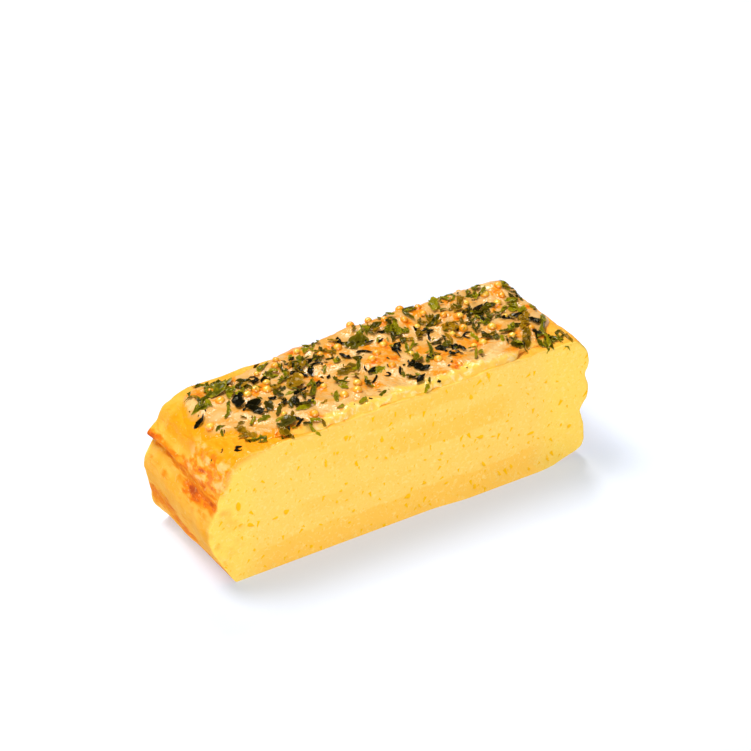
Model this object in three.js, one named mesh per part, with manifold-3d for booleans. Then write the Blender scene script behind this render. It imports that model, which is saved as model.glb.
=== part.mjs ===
// A slice of a thick rolled omelette, lying on the side it was rolled on.
// The slice is cut across the roll, so its two long faces, at -Y and +Y, are flat cuts that show
// the roll from end to end, and its two short ends, at -X and +X, are the browned outside of the
// roll, where the folded layers of egg stand out as soft lobes with creases between them.
// A thin glossy cream lies on the top, with fish roe and torn flakes of dried seaweed and herbs
// half sunk in it.
// Millimetres, +X along the slice, +Y away from the front cut, +Z up, origin under the middle.

import * as THREE from 'three';
import { mergeVertices } from 'three/addons/utils/BufferGeometryUtils.js';
import Module from 'manifold-3d';

const wasm = await Module();
wasm.setup();

// ---------------------------------------------------------------- driving dimensions

const LENGTH = 100; // across the roll, end to end
const WIDTH = 30.2; // between the two cuts
const EGG_HEIGHT = 32; // the egg alone
const GAP = 0.3; // clear space between the egg and the cream

// How far each end stands in from the full length: height, inset at the front cut, and at the back.
// The left end has one crease, between two folds, and the right end has two.
const LEFT_END = [
  [0, 6.4, 6.6], [3, 4.7, 4.4], [6, 3.1, 2.5], [9, 1.6, 2.1], [12, 0.5, 1.6],
  [14.2, 0.1, 1.1], [16.8, 0.5, 0.7], [19, 1.7, 1.2], [20.6, 2.5, 2.2], [22.4, 2.9, 2.9],
  [24.3, 3.2, 1.8], [25.5, 3.5, 3.0], [26.6, 3.9, 4.2], [28.5, 4.7, 5.2], [29.7, 5.5, 6.1],
  [30.7, 6.7, 8.0], [31.5, 8.4, 9.6], [32, 11, 12],
];
const RIGHT_END = [
  [0, 9.2, 8.4], [1, 4.4, 4.4], [2, 1.9, 2.2], [3.6, 0.8, 1], [6, 0.7, 0.5],
  [8.4, 0.9, 0.7], [11, 1.6, 1.6], [13, 2, 2.4], [14.4, 1.1, 1.6], [15.6, 0.3, 0.5],
  [18, 0, 0.1], [20.4, 0.5, 0.4], [22.4, 0.9, 1.1], [24, 0.3, 0.4], [26, 0.1, 0.1],
  [28, 0.5, 0.6], [29.4, 1.4, 1.6], [31, 2.8, 3], [31.7, 3.8, 4], [32, 5.4, 5.6],
];
const END_WAVE = 0.35; // how far the folds of the ends climb and sink along the width
const FOOT_SPREAD = 0.9; // how far the cuts stand out at the foot, towards the right end
const BACK_RISE = 0.35; // how much higher the egg is at the back cut

const LENGTH_STEPS = 12; // along the underside, and along the top
const WIDTH_STEPS = 16;

const CREAM_THICK = 1.0;
const CREAM_RIM = 0.3;
const CREAM_BANK = { right: 0.7, middle: 0.5 }; // how much thicker it lies along the back
const CREAM_CORNER = 8; // how square its outline is, as the power of a superellipse
const CREAM_STEPS = { long: 36, across: 10 };

const ROE_RADIUS = { least: 0.84, most: 1.04 };
const ROE_SHOWS = 0.15; // how far a grain's middle stands over the cream, as a share of its radius
const ROE_SPACING = 2.4; // no two grains lie nearer than this
const ROE_MARGIN = 0.8; // how far inside the cream's back edge the middle of a grain stays

// Middles of the grains of roe along X and Y.
const ROE = [
  [-41.3, -1.6], [-35.2, 4.5], [-29.3, 2.9], [-26.5, 4.3], [-24.4, 2.8], [-23, 5.4], [-20.6, -10.7],
  [-18.3, 9.7], [-16.8, 11.8], [-15.7, 3.3], [-13, -2.2], [-11.4, 11.8], [-11.4, -8.2], [-8, -8.2],
  [-7.4, 8.2], [-6.4, -5.6], [-2.5, 8.7], [1.6, 1], [3.8, 2.5], [3.8, -3.9], [4.3, 14.3], [8.8, 13.8],
  [14, -7], [15.7, 9.6], [17.3, 6.6], [17.6, 14.3], [20.8, 9.5], [21.6, 12.9], [22.6, 0.2], [24, -6.4],
  [24.8, 7.2], [25.8, 0.6], [26.4, -6.4], [28, 5.3], [33.8, 14.3], [31.6, -2.4], [33.6, -7.6],
  [37.9, 9.8], [38.6, 5.6], [38.9, -7.4], [41.1, 7.5], [44.2, 13.4], [7, 4.8], [11.6, 11.4],
];

// The largest flakes, largest first: middle along X and Y, length, width, and the way the length
// points, in degrees from X.
const FLAKES = [
  [-32.8, 8.8, 6.2, 3.2, 42], [2.2, 8.3, 5.8, 3.3, 5], [-21.6, -5.3, 4.8, 3.8, 30],
  [-17.8, 2.2, 4.8, 3.4, 60], [-5.5, 0.6, 5.4, 3, 10], [-27.4, -10.4, 4.8, 3, 20],
  [-32.2, 2, 5.4, 2.5, 65], [42.3, -13.6, 5.8, 2.3, 78], [40, -2.7, 5.2, 2.3, 50],
  [-33.6, 12, 5.8, 1.9, -5], [36.1, -9.6, 6.4, 1.7, 56], [21.6, 6.5, 4.5, 2.2, 30],
  [43, -6.3, 5.6, 1.6, 56], [25, 11.6, 4.2, 2.1, 75], [38.2, -0.4, 4.2, 2, -20],
  [-32, 6.4, 4.4, 1.7, 58], [41, 2.6, 3.8, 1.9, 45], [29, -4.3, 3.4, 2.1, 105],
  [0.4, -3.1, 3.2, 2.2, 0], [-39.8, 4.8, 3.8, 1.8, -22], [-20.6, 11.6, 4, 1.7, 46],
  [-30.3, -0.8, 4.4, 1.5, 15], [-22.8, 2.8, 2.8, 2.3, 30], [34.6, -5.1, 4, 1.6, 15],
  [17.5, 12.2, 5.2, 1.2, 58], [-37, 7, 5.6, 1.1, 33], [15.3, -2.2, 6.8, 0.9, 64],
  [-30.5, -2.9, 3.4, 1.8, -50], [9.2, -7.4, 3.4, 1.8, -52], [35, 10.5, 4.6, 1.3, 3],
  [-15.9, -3, 6.4, 0.9, 53], [32.6, 4, 4, 1.4, 35], [-27.2, -2.8, 3.1, 1.8, 70],
  [40.6, -9.5, 3, 1.8, 60], [37, -4.4, 3.6, 1.5, -5], [-25.3, -9.5, 4, 1.3, -50],
  [-34.4, -11.4, 2.6, 1.9, -15], [-13.1, -7.4, 4.4, 1.1, 62], [21.3, -0.8, 4.8, 1, 80],
  [19, -2.7, 2.8, 1.7, 45], [-30.6, -6, 2.5, 1.9, 30], [-26.3, -5.3, 4.2, 1.1, 48],
  [43.2, 10.3, 3.5, 1.3, -55], [38.1, -5.5, 3, 1.5, 30], [32.4, -11.2, 2.6, 1.7, -20],
  [10.5, 0, 4.8, 0.9, 66], [10.8, 6.7, 3.9, 1.1, 65], [22.2, -9.7, 4.2, 1, 58],
  [6.3, -11.4, 2.8, 1.5, 22], [13.3, 6.9, 3.2, 1.3, -55], [12.4, 8.7, 3.4, 1.2, 40],
  [-12.5, 4.2, 2.9, 1.4, 50], [-21.4, -7.6, 3.2, 1.2, -10], [-14.3, 6.6, 2.4, 1.6, 40],
  [23.6, 3.4, 2.4, 1.6, 40], [-10, 7.9, 3.2, 1.2, 15], [-29.3, 5, 3.8, 1, 62],
  [-35.9, -0.2, 4.2, 0.9, 52], [9.3, 2.6, 2.5, 1.5, 20], [35.4, 5.3, 2.6, 1.4, 10],
  [30.9, 9.9, 3.3, 1.1, 50], [28.2, -0.2, 4, 0.9, 62], [24.2, 1.6, 2.4, 1.5, 10],
  [20.3, -4.6, 2.1, 1.7, 10], [-3.9, -5.8, 4.4, 0.8, 80], [19.1, 12.4, 2.2, 1.6, 20],
];
const CHIPS = 74; // smaller flakes, each near one of the largest
const CHIP_SPREAD = 3.2;
const CHIP_LENGTH = { least: 1.4, most: 2.8 };
const FLAKE_THICK = 0.35;
const FLAKE_TILT = 0.2; // radians
const FLAKE_CORNERS = 5;
const FLAKE_MARGIN = 1.3; // how far inside the cream's edge the middle of a flake stays
const STACK_STEP = 0.2; // each flake that lies under another lifts it by this much
const STACK_REACH = 1.1;
const STACK_MOST = 4;

const EGG_YELLOW = 0xfdc95a;
const CREAM_PINK = 0xf0bb80;

// ---------------------------------------------------------------- helpers

const mix = (a, b, t) => a + (b - a) * t;
const hill = (d) => Math.exp(-d * d);
const clamp = (t, least, most) => Math.min(most, Math.max(least, t));
const clamp01 = (t) => clamp(t, 0, 1);
const smooth = (t) => clamp01(t) ** 2 * (3 - 2 * clamp01(t));

// 0 at the front cut and 1 at the back cut.
const depthShare = (y) => clamp01(y / WIDTH + 0.5);

// A slow unevenness of the surface, from -1 to 1.
function ripple(x, y) {
  return (
    0.45 * Math.sin(0.21 * x + 0.35 * y + 1.3) +
    0.35 * Math.sin(0.47 * x - 0.29 * y + 4.1) +
    0.2 * Math.sin(0.93 * x + 0.61 * y + 2.2)
  );
}

// A repeatable stream of numbers from 0 to 1.
function randomStream(seed) {
  let state = seed >>> 0;
  return () => {
    state = (Math.imul(state, 1664525) + 1013904223) >>> 0;
    return state / 4294967296;
  };
}

// A closed solid from a geometry placed by a matrix.
function solidFrom(geometry, matrix = new THREE.Matrix4()) {
  const bare = geometry.clone();
  for (const name of ['normal', 'uv']) bare.deleteAttribute(name);
  const merged = mergeVertices(bare.applyMatrix4(matrix), 1e-4);
  return new wasm.Manifold(
    new wasm.Mesh({
      numProp: 3,
      vertProperties: new Float32Array(merged.attributes.position.array),
      triVerts: new Uint32Array(merged.index.array),
    }),
  );
}

function geometryFrom(solid) {
  const mesh = solid.getMesh();
  const geometry = new THREE.BufferGeometry();
  geometry.setAttribute('position', new THREE.BufferAttribute(mesh.vertProperties, mesh.numProp));
  geometry.setIndex(new THREE.BufferAttribute(mesh.triVerts, 1));
  geometry.computeVertexNormals();
  return geometry;
}

// ---------------------------------------------------------------- egg

// The folds of the ends climb and sink along the width, but not at the table or at the top.
const foldRise = (y, z) => -END_WAVE * Math.sin(0.42 * y + 1) * smooth(z / 6) * smooth((31 - z) / 4);

// One end of the section at y, from the table up, as [inset, height] points.
function endPoints(rows, y) {
  return rows.map(([z, front, back]) => [mix(front, back, depthShare(y)), z + foldRise(y, z)]);
}

function straight(from, to, steps) {
  return Array.from({ length: steps - 1 }, (_, i) => [
    mix(from[0], to[0], (i + 1) / steps),
    mix(from[1], to[1], (i + 1) / steps),
  ]);
}

// The top is a little uneven and rises towards the back.
function topRise(x, y, z) {
  return (0.35 * ripple(x, y) + BACK_RISE * smooth(y / 15)) * smooth((z - 22) / 9);
}

// The section of the roll at y, as [x, z] points, counter-clockwise seen from the front.
function section(y) {
  const right = endPoints(RIGHT_END, y).map(([inset, z]) => [LENGTH / 2 - inset, z]);
  const left = endPoints(LEFT_END, y).map(([inset, z]) => [inset - LENGTH / 2, z]).reverse();
  const outline = [
    ...right,
    ...straight(right.at(-1), left[0], LENGTH_STEPS),
    ...left,
    ...straight(left.at(-1), right[0], LENGTH_STEPS),
  ];
  return outline.map(([x, z]) => [x, z + topRise(x, y, z)]);
}

// The egg's upper surface over (x, y). Near an end it is the height at which the end stands in by
// as much as the place does.
function eggTop(x, y) {
  const reach = LENGTH / 2 - Math.abs(x);
  const points = endPoints(x < 0 ? LEFT_END : RIGHT_END, y);
  const upper = points.findIndex(([inset], i) => i > 0 && points[i][1] > 25 && inset > reach);
  if (upper < 0) return EGG_HEIGHT + topRise(x, y, EGG_HEIGHT);
  const [near, far] = [points[upper - 1], points[upper]];
  const z = mix(near[1], far[1], clamp01((reach - near[0]) / (far[0] - near[0])));
  return z + topRise(x, y, z);
}

// The cuts stand out a little at the foot, towards the right end.
function footSpread(x, y, z) {
  const foot = smooth((x - 6) / 12) * smooth((42.5 - x) / 2) * hill(z / 4.5);
  return y * (1 + (FOOT_SPREAD / (WIDTH / 2)) * foot);
}

// The egg: the section carried along the width, with each cut closed by a fan about its middle.
function eggGeometry() {
  const rings = Array.from({ length: WIDTH_STEPS + 1 }, (_, j) => {
    const y = mix(-WIDTH / 2, WIDTH / 2, j / WIDTH_STEPS);
    return section(y).map(([x, z]) => [x, footSpread(x, y, z), z]);
  });
  const count = rings[0].length;
  const lastRing = WIDTH_STEPS * count;
  const frontMiddle = lastRing + count;
  const backMiddle = frontMiddle + 1;
  const index = [];
  for (let i = 0; i < count; i++) {
    const next = (i + 1) % count;
    for (let first = 0; first < lastRing; first += count) {
      const [a, b, c, d] = [first + i, first + next, first + count + i, first + count + next];
      index.push(a, c, b, b, c, d);
    }
    index.push(i, next, frontMiddle, lastRing + next, lastRing + i, backMiddle);
  }
  const middles = [-WIDTH / 2, WIDTH / 2].map((y) => [0, y, EGG_HEIGHT / 2]);
  const geometry = new THREE.BufferGeometry();
  const corners = [...rings.flat(), ...middles].flat();
  geometry.setAttribute('position', new THREE.Float32BufferAttribute(corners, 3));
  geometry.setIndex(index);
  geometry.computeVertexNormals();
  return geometry;
}

// ---------------------------------------------------------------- cream

// The cream's wavy edges. It leaves the left shoulder bare and a strip along the back of the left
// half, and both front corners are cut off.
const creamLeft = (y) => -42.6 + 12.5 * smooth((-1 - y) / 14) + 0.6 * Math.sin(0.8 * y + 0.6);
const creamRight = (y) => 46.2 - 4.5 * smooth((-3 - y) / 8) + 0.4 * Math.sin(0.9 * y);
const creamFront = (x) => {
  const wave = 0.35 * Math.sin(0.42 * x) + 0.25 * Math.sin(1.1 * x + 2);
  return -14.3 + 2 * smooth((x - 31) / 6) + wave;
};
const creamBack = (x) => mix(12.2, 14.8, smooth((x + 24) / 12)) + 0.25 * Math.sin(0.5 * x + 1);

// Where the point (u, v) of the cream, each from -1 to 1, lies in plan. The square of all (u, v)
// is first drawn in to a superellipse, which rounds its corners off.
function creamPlan(u, v) {
  const reach = Math.max(Math.abs(u), Math.abs(v), 1e-6);
  const [a, b] = [u / reach, v / reach];
  const round = (Math.abs(a) ** CREAM_CORNER + Math.abs(b) ** CREAM_CORNER) ** (1 / CREAM_CORNER);
  const [along, across] = [u, v].map((t) => (t / (round || 1) + 1) / 2);
  const xGuess = mix(creamLeft(0), creamRight(0), along);
  const y = mix(creamFront(xGuess), creamBack(xGuess), across);
  return [mix(creamLeft(y), creamRight(y), along), y];
}

// The cream's thickness: nearly even but for a bank along the back, and rounded off at its edge.
function creamThickness(u, v, x, y) {
  const edge = Math.sqrt((1 - Math.abs(u) ** 40) * (1 - Math.abs(v) ** 14));
  const middle = smooth((x - 2) / 6) * smooth((38 - x) / 5);
  const bank = CREAM_BANK.right * smooth((x + 14) / 10) + CREAM_BANK.middle * middle;
  const lumps = 0.18 * ripple(2.3 * x, 2.7 * y);
  return CREAM_RIM + (CREAM_THICK - CREAM_RIM + bank * smooth((v - 0.35) / 0.5) + lumps) * edge;
}

// The cream's plan point turned back into (u, v), close enough away from its corners.
function creamPlace(x, y) {
  const u = (2 * (x - creamLeft(y))) / (creamRight(y) - creamLeft(y)) - 1;
  const v = (2 * (y - creamFront(x))) / (creamBack(x) - creamFront(x)) - 1;
  return [u, v];
}

function creamTop(x, y) {
  const [u, v] = creamPlace(x, y).map((t) => clamp(t, -1, 1));
  return eggTop(x, y) + GAP + creamThickness(u, v, x, y);
}

function creamGeometry() {
  const { long, across } = CREAM_STEPS;
  const spread = (i, n) => Math.sin((Math.PI / 2) * ((2 * i) / n - 1));
  const [top, bottom] = [[], []];
  for (let j = 0; j <= across; j++) {
    for (let i = 0; i <= long; i++) {
      const [u, v] = [spread(i, long), spread(j, across)];
      const [x, y] = creamPlan(u, v);
      const floor = eggTop(x, y) + GAP;
      bottom.push(x, y, floor);
      top.push(x, y, floor + creamThickness(u, v, x, y));
    }
  }
  const row = long + 1;
  const under = row * (across + 1);
  const index = [];
  for (let j = 0; j < across; j++) {
    for (let i = 0; i < long; i++) {
      const a = j * row + i;
      const [b, c, d] = [a + 1, a + row, a + row + 1];
      index.push(a, b, d, a, d, c, under + a, under + d, under + b, under + a, under + c, under + d);
    }
  }
  const rim = [];
  for (let i = 0; i < long; i++) rim.push(i);
  for (let j = 0; j < across; j++) rim.push(j * row + long);
  for (let i = long; i > 0; i--) rim.push(across * row + i);
  for (let j = across; j > 0; j--) rim.push(j * row);
  rim.forEach((a, i) => {
    const b = rim[(i + 1) % rim.length];
    index.push(a, under + a, under + b, a, under + b, b);
  });
  const geometry = new THREE.BufferGeometry();
  geometry.setAttribute('position', new THREE.Float32BufferAttribute([...top, ...bottom], 3));
  geometry.setIndex(index);
  return geometry;
}

// ---------------------------------------------------------------- roe and flakes

// The grains of roe, leaving out any that would touch one before it.
function roePlaces() {
  const random = randomStream(11);
  const places = [];
  for (const [x, yWanted] of ROE) {
    const y = Math.min(yWanted, creamBack(x) - ROE_MARGIN);
    const radius = mix(ROE_RADIUS.least, ROE_RADIUS.most, random());
    const room = Math.min(...places.map((p) => Math.hypot(p.x - x, p.y - y)), LENGTH);
    if (room > ROE_SPACING) places.push({ x, y, radius });
  }
  return places;
}

// Size and turn of each flake: the largest, then the chips round them.
function flakeRows(random) {
  const rows = [...FLAKES];
  while (rows.length < FLAKES.length + CHIPS) {
    const [hostX, hostY] = FLAKES[Math.floor(random() * FLAKES.length)];
    const [angle, reach] = [2 * Math.PI * random(), CHIP_SPREAD * Math.sqrt(random())];
    const long = mix(CHIP_LENGTH.least, CHIP_LENGTH.most, random());
    const [x, y] = [hostX + reach * Math.cos(angle), hostY + reach * Math.sin(angle)];
    rows.push([x, y, long, long * mix(0.3, 0.7, random()), 360 * random()]);
  }
  return rows;
}

// The flakes as they lie on the cream. Where they overlap they pile up.
function flakePlaces() {
  const random = randomStream(5);
  const places = [];
  for (const [xWanted, yWanted, long, wide, turn] of flakeRows(random)) {
    const x = clamp(xWanted, creamLeft(yWanted) + FLAKE_MARGIN, creamRight(yWanted) - FLAKE_MARGIN);
    const y = clamp(yWanted, creamFront(x) + FLAKE_MARGIN, creamBack(x) - FLAKE_MARGIN);
    const under = places.filter((p) => Math.hypot(p.x - x, p.y - y) < STACK_REACH).length;
    places.push({
      x,
      y,
      lift: 0.1 + STACK_STEP * Math.min(under, STACK_MOST),
      long,
      wide,
      yaw: (turn * Math.PI) / 180,
      pitch: FLAKE_TILT * (2 * random() - 1),
      roll: FLAKE_TILT * (2 * random() - 1),
      corners: Array.from({ length: FLAKE_CORNERS }, () => mix(0.86, 1.14, random())),
    });
  }
  return places;
}

function flakeSolid({ x, y, lift, long, wide, yaw, pitch, roll, corners }) {
  const outline = corners.map((reach, i) => {
    const a = (2 * Math.PI * i) / corners.length;
    return new THREE.Vector2((long / 2) * reach * Math.cos(a), (wide / 2) * reach * Math.sin(a));
  });
  const shape = new THREE.Shape(outline);
  const slab = new THREE.ExtrudeGeometry(shape, { depth: FLAKE_THICK, bevelEnabled: false });
  slab.translate(0, 0, -FLAKE_THICK / 2);
  const turn = new THREE.Matrix4().makeRotationFromEuler(new THREE.Euler(pitch, roll, yaw, 'ZYX'));
  return solidFrom(slab, turn.setPosition(x, y, creamTop(x, y) + lift));
}

function roeSolid({ x, y, radius }) {
  const ball = new THREE.SphereGeometry(radius, 7, 4).rotateX(Math.PI / 2);
  const middle = creamTop(x, y) + ROE_SHOWS * radius;
  return solidFrom(ball, new THREE.Matrix4().makeTranslation(x, y, middle));
}

// The cream with all that lies in it, as one solid. Scraps that touch nothing are dropped.
function toppingGeometry() {
  const parts = [...roePlaces().map(roeSolid), ...flakePlaces().map(flakeSolid)];
  const joined = parts.reduce((whole, part) => whole.add(part), solidFrom(creamGeometry()));
  const largest = joined.decompose().reduce((a, b) => (a.volume() > b.volume() ? a : b));
  return geometryFrom(largest);
}

// ---------------------------------------------------------------- assembly

function piece(name, geometry, color, roughness) {
  const mesh = new THREE.Mesh(geometry, new THREE.MeshStandardMaterial({ color, roughness, metalness: 0 }));
  mesh.name = name;
  return mesh;
}

const slice = new THREE.Group();
slice.add(piece('omelette', eggGeometry(), EGG_YELLOW, 0.5));
slice.add(piece('cream_topping', toppingGeometry(), CREAM_PINK, 0.25));

// The origin goes under the middle of the whole slice.
const bounds = new THREE.Box3().setFromObject(slice);
const middle = bounds.getCenter(new THREE.Vector3());
slice.position.set(-middle.x, -middle.y, -bounds.min.z);

export default slice;
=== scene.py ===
"""A slice of a thick rolled omelette, with cream, fish roe and dried flakes on its top.

Shapes are worked out in millimetres and put into meshes in metres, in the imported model's frame:
+X along the slice, +Y from the front cut to the back cut, +Z up.
"""

import math

import bpy
import numpy as np
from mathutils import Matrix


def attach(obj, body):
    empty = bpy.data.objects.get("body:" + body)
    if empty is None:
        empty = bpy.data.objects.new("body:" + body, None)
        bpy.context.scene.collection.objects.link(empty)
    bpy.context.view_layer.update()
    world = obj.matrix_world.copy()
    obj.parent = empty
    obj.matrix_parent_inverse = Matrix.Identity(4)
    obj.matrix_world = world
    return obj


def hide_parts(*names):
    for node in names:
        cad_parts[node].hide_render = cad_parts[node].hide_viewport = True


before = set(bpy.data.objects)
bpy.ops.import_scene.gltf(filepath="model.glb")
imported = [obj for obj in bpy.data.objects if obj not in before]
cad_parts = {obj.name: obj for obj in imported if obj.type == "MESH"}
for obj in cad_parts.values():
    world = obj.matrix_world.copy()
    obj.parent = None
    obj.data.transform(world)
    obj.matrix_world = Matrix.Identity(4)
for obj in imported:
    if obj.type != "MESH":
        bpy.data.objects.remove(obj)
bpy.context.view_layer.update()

MM = 0.001

# ---------------------------------------------------------------- camera, floor and light
# A plain white table under soft studio light: a broad lamp high up behind throws a short shadow
# forward and to the right, a low one in front lights the cut, and a small one behind makes glints.

CAMERA_TURN = math.radians(32.573)  # how far right of +Y the camera looks
CAMERA_DROP = math.radians(32.726)  # how far it looks down
CAMERA_AIM = np.array([5.84, 6.12, 25.0]) * MM
CAMERA_DISTANCE = 676.3 * MM
LENS = 143.8  # on the 36 mm sensor that a camera has unless it is told otherwise

# Name, the turn and drop of the way it shines in degrees, distance and side in metres, and watts.
LAMPS = [
    ("back_lamp", 139, 65, 0.8, 0.34, 5.4),
    ("front_lamp", 25, 14, 1.5, 0.9, 15.9),
    ("glint_lamp", -150, 56, 0.7, 0.14, 1.8),
]
SLICE_MIDDLE = np.array([0, 0, 16]) * MM  # where the lamps point
ROOM_COLOUR = (1.0, 0.97, 0.9, 1.0)
ROOM_STRENGTH = 0.14
FLOOR_HALF = 2.0  # metres
FLOOR_COLOUR = (0.56, 0.58, 0.64, 1.0)
FLOOR_GLOW = (0.75, 0.86, 1.0, 1.0)  # cool, so that the slice's warm light leaves its shadow grey
FLOOR_GLOW_STRENGTH = 0.46


def looking(turn, drop):
    """The unit direction that is turned right of +Y and dropped below the horizon."""
    return np.array(
        [math.sin(turn) * math.cos(drop), math.cos(turn) * math.cos(drop), -math.sin(drop)]
    )


def placed(name, data, place, turn, drop):
    """An object for this data, at a place in metres, that looks along a turn and a drop."""
    thing = bpy.data.objects.new(name, data)
    thing.location = place
    thing.rotation_euler = (math.pi / 2 - drop, 0, -turn)
    bpy.context.scene.collection.objects.link(thing)
    return thing


def softbox(name, turn, drop, distance, side, watts):
    """A square lamp at a distance from the slice, shining back at it along a turn and a drop in
    degrees."""
    turn, drop = math.radians(turn), math.radians(drop)
    lamp = bpy.data.lights.new(name, "AREA")
    lamp.size = side
    lamp.energy = watts
    placed(name, lamp, SLICE_MIDDLE - distance * looking(turn, drop), turn, drop)


view = bpy.data.cameras.new("camera")
view.lens = LENS
bpy.context.scene.camera = placed(
    "camera",
    view,
    CAMERA_AIM - CAMERA_DISTANCE * looking(CAMERA_TURN, CAMERA_DROP),
    CAMERA_TURN,
    CAMERA_DROP,
)
bpy.context.scene.view_settings.view_transform = "Standard"

for lamp_row in LAMPS:
    softbox(*lamp_row)

world = bpy.data.worlds.new("white_room")
world.use_nodes = True
room = world.node_tree.nodes["Background"]
room.inputs["Color"].default_value = ROOM_COLOUR
room.inputs["Strength"].default_value = ROOM_STRENGTH
bpy.context.scene.world = world

floor_corners = [(-1, -1), (1, -1), (1, 1), (-1, 1)]
floor_places = [(x * FLOOR_HALF, y * FLOOR_HALF, 0.0) for x, y in floor_corners]
floor_mesh = bpy.data.meshes.new("floor")
floor_mesh.from_pydata(floor_places, [], [(0, 1, 2, 3)])
floor_paint = bpy.data.materials.new("floor_paint")
floor_paint.use_nodes = True
floor_shader = floor_paint.node_tree.nodes["Principled BSDF"]
floor_shader.inputs["Base Color"].default_value = FLOOR_COLOUR
floor_shader.inputs["Roughness"].default_value = 1.0
floor_shader.inputs["Specular IOR Level"].default_value = 0.0
floor_shader.inputs["Emission Color"].default_value = FLOOR_GLOW
floor_shader.inputs["Emission Strength"].default_value = FLOOR_GLOW_STRENGTH
floor_mesh.materials.append(floor_paint)
floor = bpy.data.objects.new("floor", floor_mesh)
bpy.context.scene.collection.objects.link(floor)

# ---------------------------------------------------------------- egg
# Beaten egg, poured and rolled up in layers in an oiled pan and cut across the roll. The two cut
# faces show pale custard with darker layers and small pores. The outside is oily skin, browned
# where it lay on the pan, with a crease between two folds at the left end and two at the right.

LENGTH = 100.0
WIDTH = 30.2
EGG_HEIGHT = 32.0
FOLD_SPLIT = {"left": 14, "right": 17}  # heights at which the outline's two halves meet
SHOULDER = 25.5  # height above which the ends only turn in

# How far each end stands in from the full length: height, inset at the front cut, and at the back.
LEFT_END = [
    (0, 6.4, 6.6), (3, 4.7, 4.4), (6, 3.1, 2.5), (9, 1.6, 2.1), (12, 0.5, 1.6), (14.2, 0.1, 1.1),
    (16.8, 0.5, 0.7), (19, 1.7, 1.2), (20.6, 2.5, 2.2), (22.4, 2.9, 2.9), (24.3, 3.2, 1.8),
    (25.5, 3.5, 3), (26.6, 3.9, 4.2), (28.5, 4.7, 5.2), (29.7, 5.5, 6.1), (30.7, 6.7, 8),
    (31.5, 8.4, 9.6), (32, 11, 12),
]
RIGHT_END = [
    (0, 9.2, 8.4), (1, 4.4, 4.4), (2, 1.9, 2.2), (3.6, 0.8, 1), (6, 0.7, 0.5), (8.4, 0.9, 0.7),
    (11, 1.6, 1.6), (13, 2, 2.4), (14.4, 1.1, 1.6), (15.6, 0.3, 0.5), (18, 0, 0.1), (20.4, 0.5, 0.4),
    (22.4, 0.9, 1.1), (24, 0.3, 0.4), (26, 0.1, 0.1), (28, 0.5, 0.6), (29.4, 1.4, 1.6), (31, 2.8, 3),
    (31.7, 3.8, 4), (32, 5.4, 5.6),
]
END_WAVE = 0.35  # how far the folds of the ends climb and sink along the width
FOOT_SPREAD = 0.9  # how far the cuts stand out at the foot, towards the right end
BACK_RISE = 0.35  # how much higher the egg is at the back cut

AROUND = 600  # vertices round the section
CAP_RINGS = {"front": 84, "back": 22}  # rings of vertices in each cut
SIDE_RINGS = 44  # from cut to cut
EDGE_RINGS = 4  # round the edge of each cut
EDGE_RADIUS = (0.4, 0.6)  # of the rounding between a cut and the underside, and the top
CORE_HALF = 36.0  # half the length of the line in a cut face that its rings shrink to


def mix(a, b, t):
    """a at t 0 and b at t 1, in a straight line."""
    return a + (b - a) * t


def smooth(t):
    """0 below 0, 1 above 1, and the cubic 3t² - 2t³ between."""
    t = np.clip(t, 0, 1)
    return t * t * (3 - 2 * t)


def hill(d):
    """The bell e to the minus d²."""
    return np.exp(-d * d)


def window(t, start, stop, soft):
    """1 between start and stop, falling smoothly to 0 over a distance of soft outside them."""
    return smooth((t - start) / soft + 1) * smooth((stop - t) / soft + 1)


def ripple(x, y):
    """A slow unevenness from -1 to 1: three crossed sine waves."""
    return (
        0.45 * np.sin(0.21 * x + 0.35 * y + 1.3)
        + 0.35 * np.sin(0.47 * x - 0.29 * y + 4.1)
        + 0.2 * np.sin(0.93 * x + 0.61 * y + 2.2)
    )


def noise(points, size, seed):
    """Value noise from -1 to 1: a random number at each corner of a cubic lattice with cells of
    this size in millimetres, blended between the eight corners by smoothed distances."""
    side = 32
    lattice = np.random.default_rng(seed).uniform(-1, 1, (side, side, side))
    cell = np.floor(points / size).astype(int)
    share = points / size - cell
    share = share * share * (3 - 2 * share)
    total = np.zeros(points.shape[:-1])
    for corner in np.ndindex(2, 2, 2):
        weight = np.prod(np.where(corner, share, 1 - share), axis=-1)
        index = (cell + corner) % side
        total += weight * lattice[index[..., 0], index[..., 1], index[..., 2]]
    return total


def depth_share(y):
    """0 at the front cut and 1 at the back cut."""
    return np.clip(y / WIDTH + 0.5, 0, 1)


def curve(knots, values, at):
    """A smooth curve through (knot, value) points: cubic pieces whose slopes at the knots are
    those of the neighbouring points."""
    knots, values = np.asarray(knots, dtype=float), np.asarray(values, dtype=float)
    slope = np.gradient(values, knots)
    k = np.clip(np.searchsorted(knots, at, side="right") - 1, 0, len(knots) - 2)
    span = knots[k + 1] - knots[k]
    t = np.clip((at - knots[k]) / span, 0, 1)
    near = (1 + 2 * t) * (1 - t) ** 2 * values[k] + t * (1 - t) ** 2 * span * slope[k]
    far = t * t * (3 - 2 * t) * values[k + 1] - t * t * (1 - t) * span * slope[k + 1]
    return near + far


def end_inset(rows, y, z):
    """How far an end stands in at y and z: between its front and back curves, read at a height
    that waves along the width except near the table and the top."""
    heights, front, back = zip(*rows)
    z = np.clip(z + END_WAVE * fold_wave(y) * smooth(z / 6) * smooth((31 - z) / 4), 0, EGG_HEIGHT)
    return mix(curve(heights, front, z), curve(heights, back, z), depth_share(y))


def fold_wave(y):
    """The wave from -1 to 1 in which the folds of the ends climb and sink along the width."""
    return np.sin(0.42 * y + 1)


def crease_height(y):
    """The height of the crease between the two folds of the left end."""
    return 22.4 - END_WAVE * fold_wave(y)


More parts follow.
